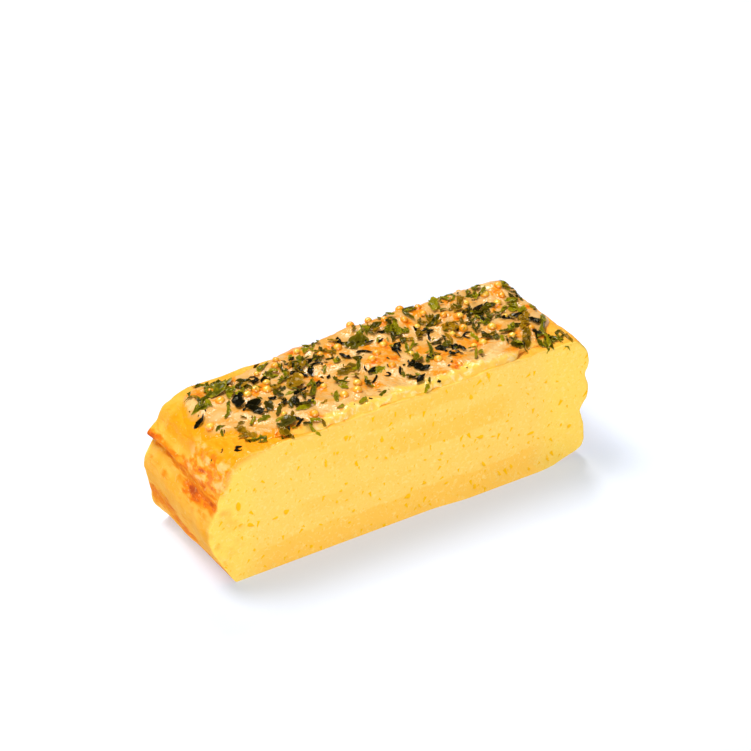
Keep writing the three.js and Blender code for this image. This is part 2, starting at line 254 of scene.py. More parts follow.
def evenly(points, count):
    """count points along a polyline, equally far apart, without its last point."""
    run = np.concatenate([[0], np.cumsum(np.linalg.norm(np.diff(points, axis=0), axis=1))])
    at = np.linspace(0, run[-1], count, endpoint=False)
    return np.stack([np.interp(at, run, points[:, k]) for k in (0, 1)], axis=1)


def top_rise(x, y, z):
    """The top is a little uneven and rises towards the back."""
    return (0.35 * ripple(x, y) + BACK_RISE * smooth(y / 15)) * smooth((z - 22) / 9)


def section(y):
    """The roll's outline at y as [x, z] rows, counter-clockwise seen from the front, from the
    middle of the left end: half of the rows run below to the right end, half above and back."""
    heights = np.linspace(0, EGG_HEIGHT, 400)
    left = np.stack([end_inset(LEFT_END, y, heights) - LENGTH / 2, heights], axis=1)
    right = np.stack([LENGTH / 2 - end_inset(RIGHT_END, y, heights), heights], axis=1)
    low_left, low_right = heights < FOLD_SPLIT["left"], heights < FOLD_SPLIT["right"]
    below = np.concatenate([left[low_left][::-1], right[low_right]])
    above = np.concatenate([right[~low_right], left[~low_left][::-1]])
    below, above = np.concatenate([below, above[:1]]), np.concatenate([above, below[:1]])
    x, z = np.concatenate([evenly(below, AROUND // 2), evenly(above, AROUND // 2)]).T
    return np.stack([x, z + top_rise(x, y, z)], axis=1)


def egg_top(x, y):
    """The height of the egg's upper face. Near an end it is found by halving: the height at
    which the end stands in by as much as the place does."""
    reach = LENGTH / 2 - np.abs(x)
    low, high = np.full(np.shape(x), SHOULDER), np.full(np.shape(x), EGG_HEIGHT)
    for _ in range(16):
        middle = (low + high) / 2
        inset = np.where(x < 0, end_inset(LEFT_END, y, middle), end_inset(RIGHT_END, y, middle))
        low, high = np.where(inset < reach, middle, low), np.where(inset < reach, high, middle)
    return low + top_rise(x, y, low)


def wrinkles(points):
    """How far the skin stands out at each place: shallow lumps, and finer ones along the width."""
    return 0.16 * noise(points, 3.1, 5) + 0.1 * noise(points * [1, 0.6, 1], 1.2, 6)


def egg_rings():
    """The egg's surface as rings of vertices from the core line of the front cut, out over the
    cut, round its edge, along the width, and back in over the back cut. Each ring is a section
    drawn in towards the core line. Returns places, and how far each was drawn in."""
    half = WIDTH / 2
    run = np.minimum(np.arange(AROUND), AROUND - np.arange(AROUND)) / (AROUND / 2)
    core_x = mix(-CORE_HALF, CORE_HALF, np.clip((run - 0.1) / 0.8, 0, 1))
    core = np.stack([core_x, np.full(AROUND, EGG_HEIGHT / 2)], axis=1)

    def ring(across, turn, drawn):
        """across: -1 at the front cut to 1 at the back cut. turn: the angle round the edge, 0 on
        the side. drawn: 0 at the rim of a cut to 1 on the core line."""
        outline = section(across * half)
        to_core = core - outline
        reach = np.linalg.norm(to_core, axis=1)
        radius = mix(*EDGE_RADIUS, smooth((outline[:, 1] - 28) / 3))
        inset = mix(radius * (1 - math.cos(turn)), reach, drawn)
        x, z = (outline + to_core * (inset / reach)[:, None]).T
        y = across * (half - radius) + math.copysign(math.sin(turn), across) * radius
        return np.stack([x, y, z], axis=1), inset

    right_angle = math.pi / 2
    edge = np.linspace(0, right_angle, EDGE_RINGS + 2)[1:-1]
    rings = [ring(-1, right_angle, drawn) for drawn in np.linspace(1, 0, CAP_RINGS["front"])]
    rings += [ring(-1, turn, 0) for turn in edge[::-1]]
    rings += [ring(across, 0, 0) for across in np.linspace(-1, 1, SIDE_RINGS)]
    rings += [ring(1, turn, 0) for turn in edge]
    rings += [ring(1, right_angle, drawn) for drawn in np.linspace(0, 1, CAP_RINGS["back"])]
    places, insets = (np.array(part) for part in zip(*rings))
    x, z = places[..., 0], places[..., 2]
    foot = smooth((x - 6) / 12) * smooth((45 - x) / 9) * hill(z / 4.5)
    places[..., 1] *= 1 + FOOT_SPREAD / half * foot
    return places, insets


# The darker layers that a cut shows: lower and upper height, how softly each edge fades, the
# stretch along X, and how dark.
LAYERS = [
    (0.4, 6.6, 3.0, 0.5, -35, 32, 1.0),
    (11.6, 14.2, 1.6, 0.6, -24, -16, 0.6),
    (12.4, 13.6, 1.6, 1.0, -15, -2, 0.4),
    (21.0, 25.4, 1.6, 1.4, -17, -8, 0.6),
    (18.2, 23.0, 0.6, 2.6, -2, 24, 1.0),
    (27.8, 30.6, 1.0, 1.4, -29, -17, 0.6),
    (27.6, 30.4, 0.9, 1.4, -7, 16, 0.95),
]


def layer_shade(x, z):
    """How dark the egg's layers are at a place in a cut: each a window along X times a window
    along Z whose edges wave a little, so that the layers hump as a rolled sheet does."""
    shade = np.zeros_like(x)
    for k, (low, high, soft_low, soft_high, start, stop, dark) in enumerate(LAYERS):
        wave = 0.3 * np.sin(0.23 * x + 1.9 * k) + 0.2 * np.sin(0.61 * x + 2.3 * k)
        up = smooth((z - low - wave) / soft_low + 1)
        down = smooth((high + wave - z) / soft_high + 1)
        shade = np.maximum(shade, dark * up * down * window(x, start, stop, 7))
    return shade


# The larger pores of the front cut: middle along X and Z, length, width, and the way the length
# points, in degrees from X.
FRONT_PORES = [
    (-42.5, 19.8, 2.5, 1.2, 95), (-39.5, 13.8, 2, 0.9, 150), (-30.5, 14, 1.5, 1.2, 20),
    (-33.5, 13.3, 1.7, 0.6, 5), (-42, 14.8, 1.2, 0.6, 10), (-20.5, 23, 2.5, 0.6, 95),
    (-15.3, 27.5, 1.7, 1, 80), (-6, 24, 1.9, 0.8, 95), (-17.5, 24.5, 1, 0.7, 60),
    (-30.3, 29, 1.1, 0.5, 90), (-24.3, 2.2, 1.1, 0.9, 0), (0.7, 6.1, 1.9, 1.1, 10),
    (-38.4, 22.8, 1, 0.5, 60), (-38.9, 7, 1, 0.6, 100), (-4.8, 18.5, 1.4, 0.5, 130),
    (-2.5, 29.3, 1.5, 0.5, 95), (-10, 20.8, 0.9, 0.6, 20), (-7.2, 19.5, 0.9, 0.5, 40),
    (-15.2, 15.7, 0.9, 0.6, 30), (-16.7, 14.2, 0.9, 0.6, 10), (-17.7, 11.7, 0.9, 0.6, 80),
    (-15.2, 11.2, 0.8, 0.5, 20), (-21.9, 7.2, 1, 0.5, 150), (-13.4, 7.7, 0.9, 0.6, 45),
    (-14.5, 4.8, 0.9, 0.6, 90), (-8.7, 2, 0.8, 0.6, 0), (10.8, 30.9, 2.6, 0.4, 112),
    (22.2, 30.4, 2.5, 0.7, 100), (17.5, 26.8, 1.6, 0.8, 100), (25.3, 27.1, 1.5, 0.5, 155),
    (11.2, 25.2, 1.1, 0.5, 100), (7.5, 23.3, 1.9, 0.4, 92), (37.8, 23.6, 1, 0.5, 0),
    (41, 22.8, 1, 0.4, 160), (6.8, 17.2, 2, 0.4, 95), (27.4, 16.8, 1, 0.5, 20),
    (20, 15.2, 2.1, 0.9, 168), (23.8, 14, 1.4, 0.5, 170), (15.7, 14.4, 1.1, 0.5, 110),
    (5.3, 14.4, 0.9, 0.5, 160), (9.7, 14.4, 1, 0.7, 30), (9.2, 13, 1.1, 0.5, 160),
    (34.1, 11.1, 2, 0.8, 5), (42.6, 10.3, 1.1, 0.6, 90), (45.1, 9.2, 1.4, 0.9, 10),
    (33.7, 8.6, 1, 0.6, 120), (23.2, 8.7, 1, 0.6, 20), (21.2, 7.5, 1.9, 0.7, 120),
    (5.2, 8, 1.3, 0.6, 10), (28.7, 4.3, 1.7, 0.6, 95), (11.1, 5.9, 1.1, 0.6, 10),
    (25.4, 3.5, 1.9, 0.6, 112), (18.5, 2.7, 1.6, 0.8, 95), (38.9, 2.4, 1.5, 0.5, 125),
    (33.4, 2.1, 1.1, 0.6, 100), (3.9, 2.3, 1.3, 0.4, 92),
]
BACK_PORES = 50  # drawn at random, from a seed
PORE_SEED = 42
PORE_DEPTH = 0.16


def drawn_pores(count, seed):
    """Rows of pores as above, in random places: most are small, and most stand upright."""
    draw = np.random.default_rng(seed)
    long = mix(0.8, 2.5, draw.random(count) ** 2.2)
    slim = long * draw.uniform(0.25, 0.6, count)
    upright = draw.random(count) < 0.6
    lean = np.where(upright, draw.normal(100, 15, count), draw.normal(0, 25, count))
    x, z = draw.uniform(-46, 47, count), draw.uniform(1.4, 30.5, count)
    return np.stack([x, z, long, slim, lean], axis=1)


def pore_depth(x, z, rows):
    """How deep the pores of one cut are, from 0 to 1: each is a dent with a rim between an oval
    and a wedge, e to the minus (distance from its middle in half widths) to the sixth."""
    depth = np.zeros_like(x)
    for k, (middle_x, middle_z, long, slim, lean) in enumerate(rows):
        near = (np.abs(x - middle_x) < 3) & (np.abs(z - middle_z) < 3)
        dx, dz, turn = x[near] - middle_x, z[near] - middle_z, math.radians(lean)
        along = (dx * math.cos(turn) + dz * math.sin(turn)) / (long / 2)
        wedge = np.clip(1 + 0.85 * math.sin(2.4 * k) * along, 0.15, 2)
        across = (dz * math.cos(turn) - dx * math.sin(turn)) / (slim / 2 * wedge)
        depth[near] = np.maximum(depth[near], np.exp(-((along**2 + across**2) ** 3)))
    return depth


def browning(x, y, z):
    """How browned the skin is, from 0 to about 1.4. Left end: a dark streak under the crease, a
    browned lip over it towards the back, patches over the front half, and a band that falls from
    the back to the front along the foot. Right end: along both creases. Underside: in patches."""
    points = np.stack([x, y, z], axis=-1)
    rough = noise(points * [1, 0.6, 1], 0.9, 3)
    patchy = noise(points, 3.0, 4)
    side = y + 1.1 * noise(points, 1.6, 31)
    high = z + 0.6 * rough + END_WAVE * fold_wave(y)
    end = smooth((-39 - x) / 4)
    core = 1.5 * hill((side + 5.2) / 4.4) * hill((high - 19.9) / 1.3)
    glow = 0.9 * window(side, -15.5, -3.5, 3.5) * hill((high - 20.6) / 2.1)
    line = 0.75 * window(high, 22.0, 23.8, 0.7) * window(y, -15, 12, 3) * (0.8 + 0.6 * rough)
    lip = window(side, -1.0, 16, 3.0) * window(high, 22.8, 24.8, 1.0)
    lip = lip * mix(0.55, 1.1, smooth((y - 9) / 4))
    patches = 0.8 * window(side, -15, -5, 3.5) * window(high, 23.6, 27.6, 1.6) * (0.5 + 1.1 * rough)
    rise = smooth((y + 14) / 20)
    foot = 0.6 * window(high, mix(0.2, 7.6, rise), mix(2.4, 11.2, rise), 1.0)
    foot = foot * window(y, -13, 15.5, 3)
    flecks = 0.3 * smooth(3 * patchy - 1.3)
    left_end = end * np.maximum.reduce([core, glow, line, lip, patches, foot, flecks])
    creases = 0.5 * hill((z - 22.4) / 1.4) + 0.35 * hill((z - 13) / 2.0) + 0.3 * window(z, 25, 28, 2)
    creases = creases * (0.8 + 0.5 * patchy)
    right_end = smooth((x - 42) / 4) * np.maximum(creases, 0.3 * smooth(3 * patchy - 1))
    under = smooth((0.9 - z) / 0.7) * (0.5 + 0.5 * patchy + 0.25 * rough)
    return np.clip(np.maximum.reduce([left_end, right_end, under]), 0, 1.4)


def oiled(x, y, z):
    """How orange the oil on the skin is, from 0 to 1: deepest in a band along the bare left
    shoulder that turns along the front edge, a film on the right shoulder, none low down."""
    points = np.stack([x, y, z], axis=-1)
    cloud = 0.25 * noise(points, 3.5, 51)
    shoulder = window(x, -46.0, -38.5, 2.5) * window(y, -14.2, 9.0, 3) * smooth((z - 25.5) / 2.5)
    front = window(x, -42, -27, 5) * window(y, -14.0, -9, 1.2) * smooth((z - 28) / 2)
    right = 0.1 * smooth((x - 43) / 3) * smooth((z - 27) / 3)
    return np.clip(np.maximum.reduce([shoulder, front, right]) * (1 + cloud), 0, 1)


def blistered(x, y, z):
    """How much the skin is blistered, from 0 to 1: on the front half of the left end's top fold."""
    return smooth((-41 - x) / 3) * window(y, -15.5, -3, 4) * window(z, 24.6, 29.5, 1.6)


def grid_faces(rows, columns, wrap=False):
    """Quads between neighbouring rows of a grid of vertices. wrap joins the last column to the
    first."""
    row, column = np.meshgrid(np.arange(rows - 1), np.arange(columns - (not wrap)), indexing="ij")
    following = (column + 1) % columns
    a, b = row * columns + column, row * columns + following
    return np.stack([a, b, b + columns, a + columns], axis=-1).reshape(-1, 4)


def new_piece(name, places, faces, material, node, fields=(), soft=True):
    """A mesh from places in millimetres, soft where its shading is smooth, with a number at each
    vertex for every named field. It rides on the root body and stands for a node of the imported
    model."""
    mesh = bpy.data.meshes.new(name)
    mesh.from_pydata((places.reshape(-1, 3) * MM).tolist(), [], faces.tolist())
    for field, values in dict(fields).items():
        layer = mesh.attributes.new(field, "FLOAT", "POINT")
        layer.data.foreach_set("value", np.ravel(values).astype(np.float32))
    mesh.polygons.foreach_set("use_smooth", np.full(len(mesh.polygons), soft))
    mesh.materials.append(material)
    piece = bpy.data.objects.new(name, mesh)
    bpy.context.scene.collection.objects.link(piece)
    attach(piece, "root")
    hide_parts(node)
    return piece


def linear(red, green, blue):
    """A colour given as 0 to 255 on a screen, as the light it stands for."""
    share = np.array([red, green, blue]) / 255
    return (*np.where(share <= 0.04045, share / 12.92, ((share + 0.055) / 1.055) ** 2.4), 1.0)


class Paint:
    """A material whose colour is built up by mixing. Node sockets are joined as they are named."""

    def __init__(self, name):
        self.material = bpy.data.materials.new(name)
        self.material.use_nodes = True
        self.tree = self.material.node_tree
        self.shader = self.tree.nodes["Principled BSDF"]
        self.coordinates = self.tree.nodes.new("ShaderNodeTexCoord").outputs["Object"]

    def join(self, value, socket):
        """Puts a number, a colour or another node's output into a socket."""
        if isinstance(value, bpy.types.NodeSocket):
            self.tree.links.new(value, socket)
        else:
            socket.default_value = value

    def field(self, name):
        """The number that the mesh holds at each vertex under this name."""
        node = self.tree.nodes.new("ShaderNodeAttribute")
        node.attribute_name = name
        return node.outputs["Fac"]

    def vector(self, kind, a, b):
        """Arithmetic on two vectors."""
        node = self.tree.nodes.new("ShaderNodeVectorMath")
        node.operation = kind
        self.join(a, node.inputs[0])
        self.join(b, node.inputs[1])
        return node.outputs["Vector"]

    def grain(self, size_mm, detail=2.0, distortion=0.0, stretch=(1, 1, 1)):
        """Noise from 0 to 1 with spots of about this size, longer by stretch along each axis."""
        node = self.tree.nodes.new("ShaderNodeTexNoise")
        node.inputs["Scale"].default_value = 1 / (size_mm * MM)
        node.inputs["Detail"].default_value = detail
        node.inputs["Distortion"].default_value = distortion
        self.join(self.vector("DIVIDE", self.coordinates, stretch), node.inputs["Vector"])
        return node.outputs["Fac"]

    def slits(self, spacing_mm, long_mm, slim_mm, crowd):
        """1 inside and 0 outside small wedge-shaped slits in the cuts. In each random cell of
        this spacing the distance from its middle is turned by a random angle and measured in the
        slit's half lengths, and in half widths that grow along it. Cells where crowd is low have
        none, and of the rest about half."""
        nodes = self.tree.nodes
        upright = nodes.new("ShaderNodeMapping")
        upright.inputs["Rotation"].default_value = (-math.pi / 2, 0, 0)
        self.join(self.coordinates, upright.inputs["Vector"])
        cell = nodes.new("ShaderNodeTexVoronoi")
        cell.voronoi_dimensions = "2D"
        cell.inputs["Scale"].default_value = 1 / (spacing_mm * MM)
        self.join(upright.outputs["Vector"], cell.inputs["Vector"])
        draw = nodes.new("ShaderNodeSeparateColor")
        self.join(cell.outputs["Color"], draw.inputs["Color"])
        away = self.vector("SUBTRACT", upright.outputs["Vector"], cell.outputs["Position"])
        turned = nodes.new("ShaderNodeVectorRotate")
        turned.rotation_type = "Z_AXIS"
        self.join(away, turned.inputs["Vector"])
        self.join(self.ramp(draw.outputs["Red"], 0.0, 1.0, -2.4, -0.4), turned.inputs["Angle"])
        parts = nodes.new("ShaderNodeSeparateXYZ")
        self.join(turned.outputs["Vector"], parts.inputs[0])
        size = self.ramp(draw.outputs["Green"], 0.0, 1.0, 0.8, 2.4)
        along = self.sum("MULTIPLY", size, self.sum("DIVIDE", parts.outputs["X"], long_mm * MM / 2))
        across = self.sum("MULTIPLY", size, self.sum("DIVIDE", parts.outputs["Y"], slim_mm * MM / 2))
        across = self.sum("DIVIDE", across, self.ramp(along, -1.0, 1.0, 0.3, 1.5))
        along, across = (self.sum("ABSOLUTE", value, 0.0) for value in (along, across))
        inside = self.ramp(self.sum("MAXIMUM", along, across), 0.7, 1.0, 1.0, 0.0)
        rare = self.ramp(crowd, 0.38, 0.62, 0.8, 0.3)
        return self.sum("MULTIPLY", inside, self.sum("GREATER_THAN", draw.outputs["Blue"], rare))

    def ramp(self, value, low, high, to_low=0.0, to_high=1.0):
        """value stretched so that low gives to_low and high gives to_high, and kept between."""
        node = self.tree.nodes.new("ShaderNodeMapRange")
        for socket, number in zip(
            ("Value", "From Min", "From Max", "To Min", "To Max"),
            (value, low, high, to_low, to_high),
        ):
            self.join(number, node.inputs[socket])
        return node.outputs["Result"]

    def sum(self, kind, a, b):
        """Arithmetic on two numbers: ADD, SUBTRACT, MULTIPLY, DIVIDE, MAXIMUM, GREATER_THAN, or
        ABSOLUTE, which reads the first alone."""
        node = self.tree.nodes.new("ShaderNodeMath")
        node.operation = kind
        self.join(a, node.inputs[0])
        self.join(b, node.inputs[1])
        return node.outputs[0]

    def blend(self, share, a, b):
        """The colour a where share is 0 and b where it is 1."""
        node = self.tree.nodes.new("ShaderNodeMix")
        node.data_type = "RGBA"
        self.join(share, node.inputs["Factor"])
        self.join(a, node.inputs[6])
        self.join(b, node.inputs[7])
        return node.outputs[2]

    def bumps(self, height, size_mm, strength=1.0, under=None):
        """Shading as if the surface stood out by height times size_mm."""
        node = self.tree.nodes.new("ShaderNodeBump")
        node.inputs["Distance"].default_value = size_mm * MM
        self.join(strength, node.inputs["Strength"])
        self.join(height, node.inputs["Height"])
        if under is not None:
            self.join(under, node.inputs["Normal"])
        return node.outputs["Normal"]

    def finish(self, colour, normal=None, **numbers):
        """Sets the shader: its colour, its normal and any other socket by its name with _ for
        spaces."""
        self.join(colour, self.shader.inputs["Base Color"])
        if normal is not None:
            self.join(normal, self.shader.inputs["Normal"])
        for name, value in numbers.items():
            self.join(value, self.shader.inputs[name.replace("_", " ")])
        return self.material


def egg_paint():
    """Custard on the cuts, oily browned skin on the rest."""
    paint = Paint("egg")
    cut, shade, pore = (paint.field(name) for name in ("cut", "layer", "pore"))
    brown, oil, blister, end = (paint.field(name) for name in ("brown", "oil", "blister", "end"))
    cloud = paint.grain(5.0, 3.0)
    speck = paint.grain(0.6, 3.0)
    crumb = paint.grain(0.9, 4.0, 1.0)
    fibre = paint.grain(1.1, 5.0, 0.5, (1, 3.0, 1))
    patch = paint.grain(1.9, 6.0, 0.3, (1, 1.6, 1))

    custard = paint.blend(shade, linear(253, 206, 101), linear(255, 196, 82))
    custard = paint.blend(paint.ramp(cloud, 0.4, 0.75, 0.0, 0.3), custard, linear(253, 201, 88))
    custard = paint.blend(end, custard, linear(254, 211, 94))
    custard = paint.blend(paint.ramp(speck, 0.42, 0.68, 0.0, 0.4), custard, linear(252, 199, 80))
    custard = paint.blend(paint.ramp(crumb, 0.54, 0.7, 0.0, 0.6), custard, linear(255, 221, 134))
    faint = paint.sum("MULTIPLY", paint.slits(1.7, 0.8, 0.4, cloud), 0.55)
    slits = paint.sum("MAXIMUM", paint.slits(3.3, 1.7, 0.7, cloud), faint)
    # Pores and slits are painted a deeper golden: painted shade inside them.
    pore_shade = paint.sum("MAXIMUM", paint.ramp(pore, 0.25, 0.6, 0.0, 0.95), slits)
    custard = paint.blend(pore_shade, custard, linear(251, 186, 6))

    skin = paint.blend(paint.ramp(cloud, 0.35, 0.7), linear(252, 186, 76), linear(248, 167, 40))
    gloss = paint.blend(paint.ramp(fibre, 0.35, 0.65), linear(245, 150, 12), linear(250, 168, 28))
    skin = paint.blend(oil, skin, gloss)
    scorch = paint.sum("MULTIPLY", blister, paint.ramp(patch, 0.52, 0.4, 0.0, 0.75))
    browned = paint.sum("ADD", brown, paint.ramp(fibre, 0.3, 0.7, -0.34, 0.34))
    browned = paint.sum("MAXIMUM", browned, scorch)
    skin = paint.blend(paint.ramp(browned, 0.1, 0.55), skin, linear(244, 142, 22))
    skin = paint.blend(paint.ramp(browned, 0.5, 0.9), skin, linear(232, 112, 24))
    skin = paint.blend(paint.ramp(browned, 0.9, 1.3), skin, linear(186, 76, 26))
    pale = paint.sum("MULTIPLY", blister, paint.ramp(patch, 0.5, 0.62, 0.0, 0.8))
    pale = paint.sum("MAXIMUM", pale, paint.ramp(crumb, 0.58, 0.7, 0.0, 0.35))
    skin = paint.blend(pale, skin, linear(254, 204, 124))

    colour = paint.blend(cut, skin, custard)
    grainy = paint.sum("SUBTRACT", speck, paint.sum("MULTIPLY", slits, cut))
    fine = paint.bumps(grainy, 0.12, paint.ramp(cut, 0.0, 1.0, 0.9, 0.5))
    normal = paint.bumps(fibre, 0.35, paint.ramp(cut, 0.0, 1.0, 0.8, 0.1), fine)
    wet = paint.sum("MAXIMUM", oil, blister)
    wet = paint.sum("MULTIPLY", wet, paint.ramp(cut, 0.0, 1.0, 0.24, 0.0))
    return paint.finish(
        colour,
        normal,
        Coat_Weight=wet,
        Coat_Roughness=0.1,
        Roughness=paint.ramp(cut, 0.0, 1.0, 0.5, 0.55),
        Specular_IOR_Level=0.01,
        Subsurface_Weight=0.1,
        Subsurface_Radius=(1.0, 0.5, 0.2),
        Subsurface_Scale=2.0 * MM,
    )


egg_places, egg_inset = egg_rings()
x, y, z = np.moveaxis(egg_places, -1, 0)
on_cut = smooth((egg_inset - 0.4) / 0.7)
back_pores = pore_depth(x, z, drawn_pores(BACK_PORES, PORE_SEED))
egg_pore = on_cut * np.where(y < 0, pore_depth(x, z, FRONT_PORES), back_pores)
egg_shade = np.where(y < 0, layer_shade(x, z), layer_shade(-0.9 * x + 4, z + 0.4))
egg_blister = blistered(x, y, z)

# The pale custard turns over the edge of a cut unevenly, by about half a millimetre, and softly
# down the left end. At the upper left corner the skin's colour reaches in over the cut.
low_left = smooth((-40 - x) / 3) * window(z, 5, 18, 4)
turned_over = 0.4 + 1.0 * low_left
turned_over = turned_over * (1 + 0.5 * noise(egg_places, 1.6, 11))
egg_cut = smooth((np.abs(y) - WIDTH / 2 + turned_over) / mix(0.2, 1.8, low_left))
high_left = smooth((-33 - x) / 7) * smooth((z - 22) / 4)
egg_cut *= mix(1, smooth((egg_inset + 0.4) / 2.8), 0.8 * high_left)

# The skin stands out in wrinkles and blisters, the cuts are slightly wavy and their pores go in.
wrinkle = wrinkles(egg_places)
crease = smooth((-43 - x) / 2) * hill((z - crease_height(y)) / mix(1.3, 0.5, smooth((y - 7) / 5)))
wrinkle += mix(0.45, -0.4, smooth((y + 2) / 14)) * crease
wrinkle += egg_blister * 0.25 * noise(egg_places, 1.5, 7)
wrinkle *= (1 - on_cut) * smooth(z / 2)
wave = 0.16 * noise(egg_places, 7.0, 8) + 0.05 * noise(egg_places, 1.6, 9)
dip = on_cut * (wave - PORE_DEPTH * egg_pore)
outline = np.roll(egg_places, -1, axis=1) - np.roll(egg_places, 1, axis=1)
outward = np.stack([outline[..., 2], 0 * x, -outline[..., 0]], axis=-1)
outward /= np.maximum(np.linalg.norm(outward, axis=-1, keepdims=True), 1e-9)
shaped = egg_places + wrinkle[..., None] * outward + (np.sign(y) * dip)[..., None] * [0, 1, 0]

egg = new_piece(
    "egg",
    shaped,
    grid_faces(*x.shape, wrap=True),
    egg_paint(),
    "omelette",
    {
        "cut": egg_cut,
        "layer": egg_shade,
        "pore": egg_pore,
        "brown": browning(x, y, z),
        "oil": oiled(x, y, z),
        "blister": egg_blister,
        "end": smooth((np.abs(x + 1) - 35) / 8),
    },
)

# ---------------------------------------------------------------- cream
# A thin, wet, peach-coloured cream spread over the top. It is banked up along the back, thins out
# to nothing at the front and the left, and orange oil gathers in it round the roe and flakes.

CREAM_THICK = 1.0
CREAM_GAP = 0.3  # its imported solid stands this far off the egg
CREAM_LAID = 0.2  # here its underside sinks into the egg instead, so that no gap shows
CREAM_CORNER = 8  # how square its outline is, as the power of a superellipse
CREAM_GRID = (84, 250)  # vertices across and along
ROE_SWELL = 0.25  # how far the cream creeps up round a grain of roe
SWELL_REACH = 1.5

# Middles of the larger grains of roe along X and Y.
ROE = [
    (-41.3, -1.6), (-35.2, 4.5), (-29.3, 2.9), (-26.5, 4.3), (-24.4, 2.8), (-23, 5.4), (-20.6, -10.7),
    (-18.3, 9.7), (-16.8, 11.8), (-15.7, 3.3), (-13, -2.2), (-11.4, 11.8), (-11.4, -8.2), (-8, -8.2),
    (-7.4, 8.2), (-6.4, -5.6), (-2.5, 8.7), (1.6, 1), (3.8, 2.5), (3.8, -3.9), (4.3, 14.3), (8.8, 13.8),
    (14, -7), (15.7, 9.6), (17.3, 6.6), (17.6, 14.3), (20.8, 9.5), (21.6, 12.9), (22.6, 0.2), (24, -6.4),
    (24.8, 7.2), (25.8, 0.6), (26.4, -6.4), (28, 5.3), (33.8, 14.3), (31.6, -2.4), (33.6, -7.6),
    (37.9, 9.8), (38.6, 5.6), (38.9, -7.4), (41.1, 7.5), (42.3, 10.8), (7, 4.8), (11.6, 11.4),
]

# Where orange oil gathers, and where the cream is pale: thick in some places, a painted glint in others:
# middle along X and Y, and reach.
OIL_POOLS = [
    (-38, 9, 1.8), (-36.2, 4.8, 1.1), (-30.2, 12.4, 1.6), (-28.4, 10.8, 1.3), (-27.2, 3.4, 1.4),
    (-24.6, 4.8, 1.2), (-33, -1.8, 1.1), (-31, -13, 2), (-26.8, -12.9, 2.2), (-33, -11.4, 0.9),
    (-20, -13, 1.8), (-12, 12.6, 1.7), (-15.6, 7.8, 1.1), (-12.9, 1.4, 1.4), (-14.4, -3, 1.4),
    (-7.3, 3.8, 1), (-8.1, -1, 1.3), (-3.8, 10, 1.3), (-5.8, 7.5, 1.1), (-5.4, -5.2, 1.4),
    (-2.9, -8, 1.6), (1, -0.2, 1.8), (4.5, -0.1, 2), (7.4, 3.9, 2.2), (6.4, -1.9, 1.4),
    (13.4, -1.5, 1.9), (16.2, -4.9, 1.9), (18.6, -7.7, 1.6), (16.6, -9.8, 1.6), (15.8, -12, 1.6),
    (11.4, -11.4, 1.6), (22.4, -3.5, 1.7), (23.8, 3.8, 1.4), (25.4, -5.4, 1.8), (27.4, 5.4, 1.5),
    (15.8, 8.6, 1.3), (11.4, 11, 1.2), (21.8, 12.6, 1.1), (37, 4.6, 1.3), (44, 1.4, 1.2),
    (27.8, -5.8, 0.9), (30.2, -12.4, 1.8), (34, -13, 2.2), (32.8, -2.9, 1.3), (34.8, -6.9, 1.3),
    (39, -11, 1.8), (28.6, 11.2, 1.4), (3.4, 6.2, 1.3), (19.4, 11, 1.2), (40.6, 9.4, 1.2),
]
PALE_AND_GLINT_SPOTS = [
    (27.2, -10.4, 2.6), (-40.4, 7.6, 1.4), (4, -11.8, 1.8), (-6.2, -9.8, 1.4), (33.4, -8.8, 1.4),
    (-31.8, -7, 1.1), (-19.6, -12.2, 1.3), (8.8, -2.6, 1.3), (23.8, -12.6, 1.8), (0.8, -13, 1.6),
    (34.8, -1.4, 1.1), (-29, -4.4, 1), (-1.8, -11, 1.8), (-13.6, -9.8, 1.5), (7.6, -8.4, 1.2),
    (39, 12.6, 1.6),
]
# Where a blob of it ends thick and pale at the left.
THICK_SPOTS = [(-40.6, 8.6, 1.1), (-40.4, 6.4, 1.3), (-39.4, 4.2, 1.1)]


def cream_left(y):
    """The cream's left edge: the front corner is cut off."""
    return -43.8 + 12.5 * smooth((-1 - y) / 14) + 0.6 * np.sin(0.8 * y + 0.6)


def cream_right(y):
    """The cream's right edge: the front corner is cut off."""
    return 46.2 - 4.5 * smooth((-3 - y) / 8) + 0.4 * np.sin(0.9 * y)


def cream_front(x):
    """The cream's front edge: it draws back from the cut towards the right end."""
    wavy = 0.35 * np.sin(0.42 * x) + 0.25 * np.sin(1.1 * x + 2)
    return np.maximum(-14.7 + 2.2 * smooth((x - 31) / 6) + wavy, -14.9)


def cream_back(x):
    """The cream's back edge: it leaves a strip of egg bare towards the left."""
    return mix(12.2, 14.8, smooth((x + 24) / 12)) + 0.25 * np.sin(0.5 * x + 1)


def cream_plan(u, v):
    """Where the point (u, v) of the cream, each from -1 to 1, lies in plan. The square of all
    (u, v) is drawn in to a superellipse and then stretched between the four edges."""
    power = CREAM_CORNER
    reach = np.maximum(np.maximum(np.abs(u), np.abs(v)), 1e-9)
    round_off = (np.abs(u / reach) ** power + np.abs(v / reach) ** power) ** (1 / power)
    along, across = (u / round_off + 1) / 2, (v / round_off + 1) / 2
    guess = mix(cream_left(0.0), cream_right(0.0), along)
    y = mix(cream_front(guess), cream_back(guess), across)
    return mix(cream_left(y), cream_right(y), along), y


def cream_height(x, y):
    """The cream's thickness over a place: even but for a bank along the back, and falling away
    within a millimetre or two of its edges."""
    u = np.clip(2 * (x - cream_left(y)) / (cream_right(y) - cream_left(y)) - 1, -1, 1)
    v = np.clip(2 * (y - cream_front(x)) / (cream_back(x) - cream_front(x)) - 1, -1, 1)
    edge = np.sqrt(np.clip((1 - np.abs(u) ** 40) * (1 - np.abs(v) ** 14), 0, 1))
    bank = 0.7 * smooth((x + 14) / 10) + 0.5 * smooth((x - 2) / 6) * smooth((38 - x) / 5)
    return (CREAM_THICK + bank * smooth((v - 0.35) / 0.5) + 0.07 * ripple(2.3 * x, 2.7 * y)) * edge


